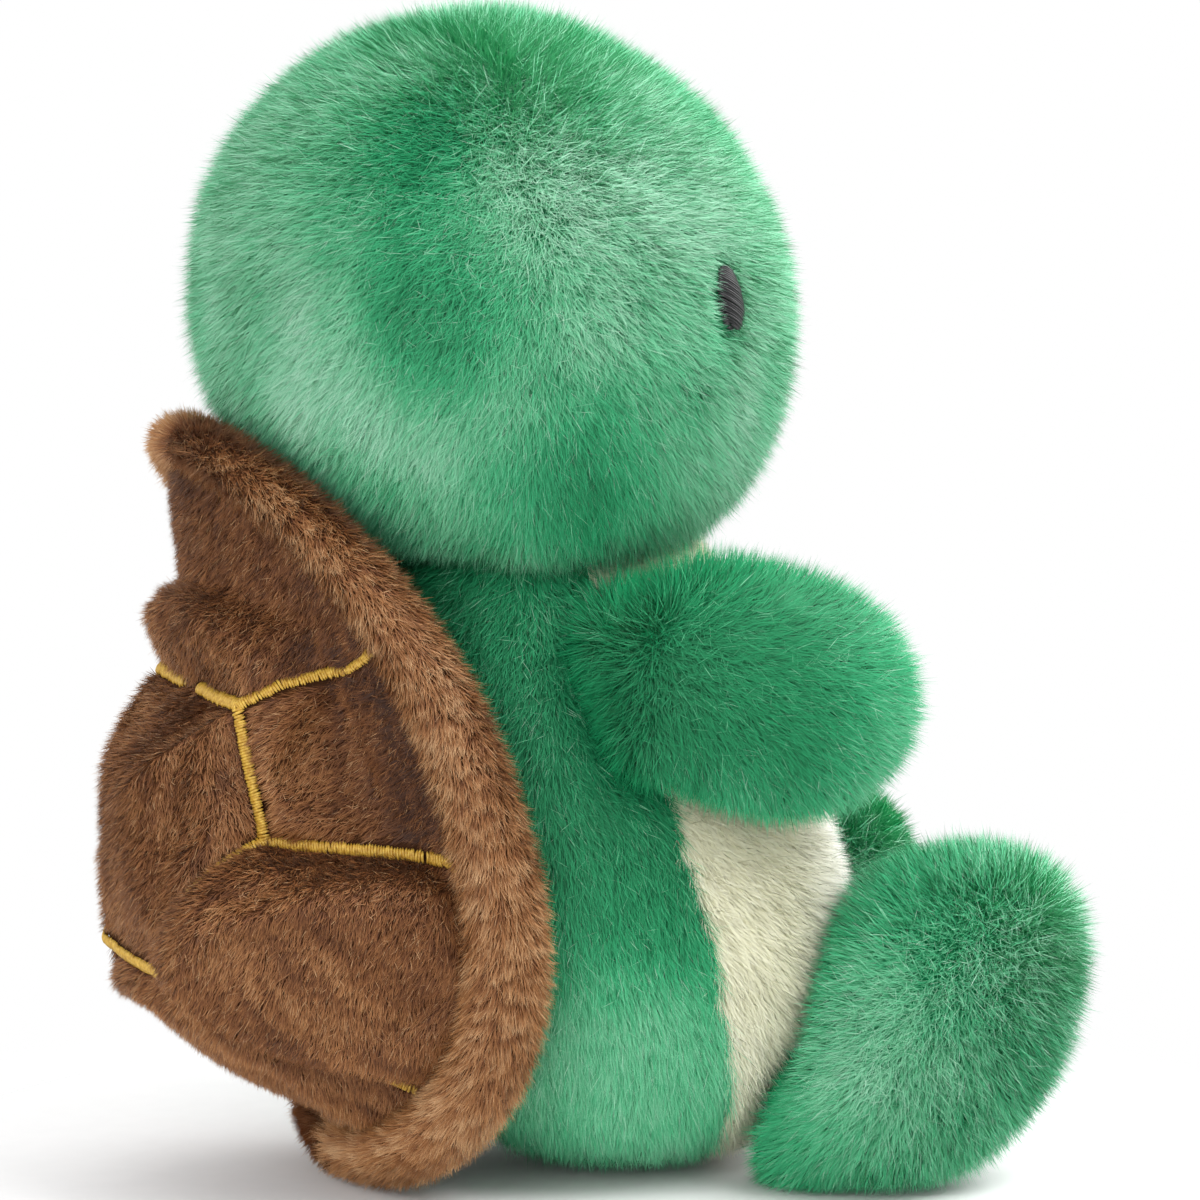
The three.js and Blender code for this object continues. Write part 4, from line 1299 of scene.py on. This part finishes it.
def build_dome():
    """The dome's cloth, filling and pile. Gives back its stitched lines."""
    rng = np.random.default_rng(SEED + 32)
    rings = np.concatenate([np.linspace(number, number + 1, count + 1)[1:]
                            for number, count in enumerate(DOME_RINGS)])[:-1]
    columns = np.arange(SCUTE_COLUMNS * 6) / SCUTE_COLUMNS
    ring, column = np.meshgrid(rings, columns, indexing="ij")
    ends = dome_points(np.array([0.0, 3.0]), np.array([0.5, 0.5]))
    points = np.concatenate([dome_points(ring, column).reshape(-1, 3), ends])
    ring = np.concatenate([ring.ravel(), [0, 3]])
    column = np.concatenate([column.ravel(), [0, 0]])
    on_line = (np.abs(ring - 1) < 0.01) | ((ring > 1) & (np.abs(column - np.round(column)) < 0.01))
    faces = [face[::-1] for face in loft_faces(len(rings), len(columns))]
    cloth = add_mesh("shell_dome_cloth", points, faces)
    swell(cloth, on_line | (ring > 1.98))
    points = points_of(cloth)
    points[:, 1] += np.maximum(lining_depth(points), 0)
    set_points(cloth, push_in_rim(points))
    ease = cloth.modifiers.new("ease", "SUBSURF")
    ease.levels = 1
    tree = search_tree(points_of(cloth))
    apply_modifiers(cloth)
    thick = -lining_depth(points_of(cloth))
    sunk = 0.5 + np.clip(thick * 0.2, 0, 1.5)
    build_filling(cloth, "shell_padding", "body", np.clip(thick * 0.25, 0, SHELL_WALL), sunk,
                  np.array([0, 40]), 0.975)
    finish_padded(cloth, brown_cloth, "body", "brown_pile", "shell_dome")
    lines = stitch_lines(cloth)
    line_distance = distance_finder(lines)

    roots, normals = scatter(cloth, SHELL_DENSITY, rng)
    index = np.array([tree.find(root)[1] for root in roots])
    near = line_distance(roots)
    at_root, at_tip = LINE_CLEAR
    keep = (ring[index] < 2) & (near > at_root)
    roots, normals, index, near = (values[keep] for values in (roots, normals, index, near))
    scute = np.where(ring[index] < 1, 6, np.floor(column[index]).astype(int) % 6)
    nap = SCUTE_FLOWS[scute]
    nap[:, 0] *= np.sign(roots[:, 0])
    flow = spun(unit(flattened(nap, normals)), normals, noise(roots, 14, 12) * 0.5)
    keep = line_distance(roots + flow * SHELL_PILE * 0.7 + normals * SHELL_PILE * 0.5) > at_tip
    roots, normals, flow, nap, near, index, scute = (
        values[keep] for values in (roots, normals, flow, nap, near, index, scute))
    along = unit(nap)
    across = unit(np.cross(along, [0, 1, 0]))
    lengthwise, sideways = (roots * along).sum(axis=1), (roots * across).sum(axis=1)
    ribs = np.stack([lengthwise / RIB_LENGTH, sideways / RIB_WIDTH, scute * 3.0], axis=1)
    tone = DOME_TONE + noise(roots, 9, 4) * 0.12 + noise(ribs, 1.0, 5) * TUFT_SHADE
    # painted shade in the creases along the stitched lines
    tone -= LINE_SHADE * np.exp(-near / 1.2)
    # painted shade in the recess by the rim, weaker on the top scute
    recess = np.clip((ring[index] - 1.25) / 0.4, 0, 1) * np.clip((roots[:, 2] - 36) / 8, 0, 1)
    tone -= RECESS_SHADE * recess * (1 - 0.6 * (scute == 0))
    add_pile("shell_dome_pile", (brown_pile, "body", "brown_pile"), rng, roots, normals, flow, tone,
             SHELL_PILE, 0.8, width=SHELL_FIBRE, tuft=0.55, tuft_size=SHELL_TUFTS, straight=0.2)
    return lines


def stitch_lines(cloth):
    """Points close together along each stitched line of the shell, on its cloth."""
    faces = [list(face.vertices) for face in cloth.data.polygons]
    surface = BVHTree.FromPolygons(points_of(cloth).tolist(), faces)
    lines = []
    for index in range(6):
        lines.append(dome_points(np.ones(60), np.linspace(index, index + 0.999, 60)))
        lines.append(dome_points(np.linspace(1, 1.98, 90), np.full(90, index)))
    return [np.array([surface.find_nearest(point)[0] for point in line]) for line in lines]


def distance_finder(lines):
    """Gives how far points are from the nearest of these lines."""
    tree = search_tree(np.concatenate(lines))
    return lambda points: np.array([tree.find(point)[2] for point in points])


def build_stitches(lines):
    rng = np.random.default_rng(SEED + 33)
    sweep = np.linspace(-1, 1, 7)[:, None]
    paths = []
    for line in lines:
        steps = np.linalg.norm(np.diff(line, axis=0), axis=1)
        travel = np.concatenate([[0], np.cumsum(steps)])
        places = np.arange(0, travel[-1], STITCH_STEP)
        middle = np.stack([np.interp(places, travel, line[:, axis]) for axis in range(3)], axis=1)
        run = unit(np.gradient(middle, axis=0))
        cross = unit(np.cross(run, unit(middle - DOME_HEART)))
        out = np.cross(cross, run)
        for at, forward, side, up in zip(middle, run, cross, out):
            half = STITCH_LENGTH / 2 * (1 + rng.normal(0, 0.08))
            slant = forward * (STITCH_SLANT + rng.normal(0, 0.05))
            arch = up * (STITCH_FOOT + STITCH_ARCH * (1 - sweep ** 2))
            paths.append(at + side * half * sweep + slant * sweep + arch)
    piece = add_mesh("shell_stitches", *thread_tubes(paths, STITCH_THREAD))
    finish_piece(piece, yellow_thread, "body", "brown_pile")


# Floor, light and camera

STAGE_WORLD = 0.95
FLOOR_RADIUS = 0.6
FLOOR_DROP = 0.0002
FLOOR_FADE = (0.04, 0.09)
# each lamp's place in metres, its size and its power
LAMPS = {
    "key": ((-0.45, -0.35, 0.75), 0.5, 6.0),
    "fill": ((-0.6, 0.6, 0.35), 0.6, 2.6),
    "front": ((0.35, -0.7, 0.5), 0.6, 4.2),
}
LAMP_AIM = (0, 0, 0.05)


def build_world():
    """White behind the toy, and a soft light of its own from all sides."""
    world = bpy.data.worlds.new("studio")
    bpy.context.scene.world = world
    world.use_nodes = True
    tree = world.node_tree
    tree.nodes.clear()
    soft = add_node(tree, "Background", {"Color": grey(1), "Strength": STAGE_WORLD})
    white = add_node(tree, "Background", {"Color": grey(1), "Strength": 1.0})
    path = add_node(tree, "LightPath", {})
    mix = add_node(tree, "MixShader", {
        0: path.outputs["Is Camera Ray"], 1: soft.outputs[0], 2: white.outputs[0]})
    add_node(tree, "OutputWorld", {0: mix.outputs[0]})


def build_floor():
    """A sheet of paper that fades out round the toy."""
    bpy.ops.mesh.primitive_circle_add(vertices=96, radius=FLOOR_RADIUS, fill_type="NGON",
                                      location=(0, 0, -FLOOR_DROP))
    floor = bpy.context.object
    floor.name = "floor"
    material, tree, shader = node_material("floor_paper")
    place = tree.nodes.new("ShaderNodeTexCoord").outputs["Object"]
    grain = noise_node(tree, place, 300)
    wire(tree, shader, {
        "Base Color": ramp_node(tree, grain, [(0.0, grey(0.9)), (1.0, grey(0.94))]),
        "Roughness": 0.9, "Specular IOR Level": 0.1})
    distance = tree.nodes.new("ShaderNodeVectorMath")
    distance.operation = "LENGTH"
    wire(tree, distance, {0: place})
    near, far = FLOOR_FADE
    away = distance.outputs["Value"]
    fade = add_node(tree, "MapRange", {"Value": away, "From Min": near, "From Max": far})
    fade.interpolation_type = "SMOOTHSTEP"
    clear = add_node(tree, "BsdfTransparent", {})
    blend = add_node(tree, "MixShader", {0: fade.outputs[0], 1: shader.outputs[0], 2: clear.outputs[0]})
    wire(tree, tree.nodes["Material Output"], {0: blend.outputs[0]})
    floor.data.materials.append(material)


def build_lamps():
    for name, (place, size, power) in LAMPS.items():
        light = bpy.data.lights.new(name, "AREA")
        light.size = size
        light.energy = power
        lamp = bpy.data.objects.new(name, light)
        bpy.context.scene.collection.objects.link(lamp)
        lamp.location = place
        lamp.rotation_mode = "QUATERNION"
        lamp.rotation_quaternion = (Vector(LAMP_AIM) - Vector(place)).to_track_quat("-Z", "Y")


make_camera()
build_head()
build_body()
for number, limb in enumerate(limbs):
    build_limb(limb, number)
build_rim()
build_lining()
shell_lines = build_dome()
build_stitches(shell_lines)
for eye in eyes:
    build_eye(eye)
build_mouth()
for name, node in frame["nodes"].items():
    if name.endswith(("stuffing", "filling", "padding")) or name in inner_materials:
        node.data.materials.clear()
        node.data.materials.append(inner_materials.get(name, fibre_fill))
build_world()
build_floor()
build_lamps()
bpy.context.scene.view_settings.view_transform = "Standard"
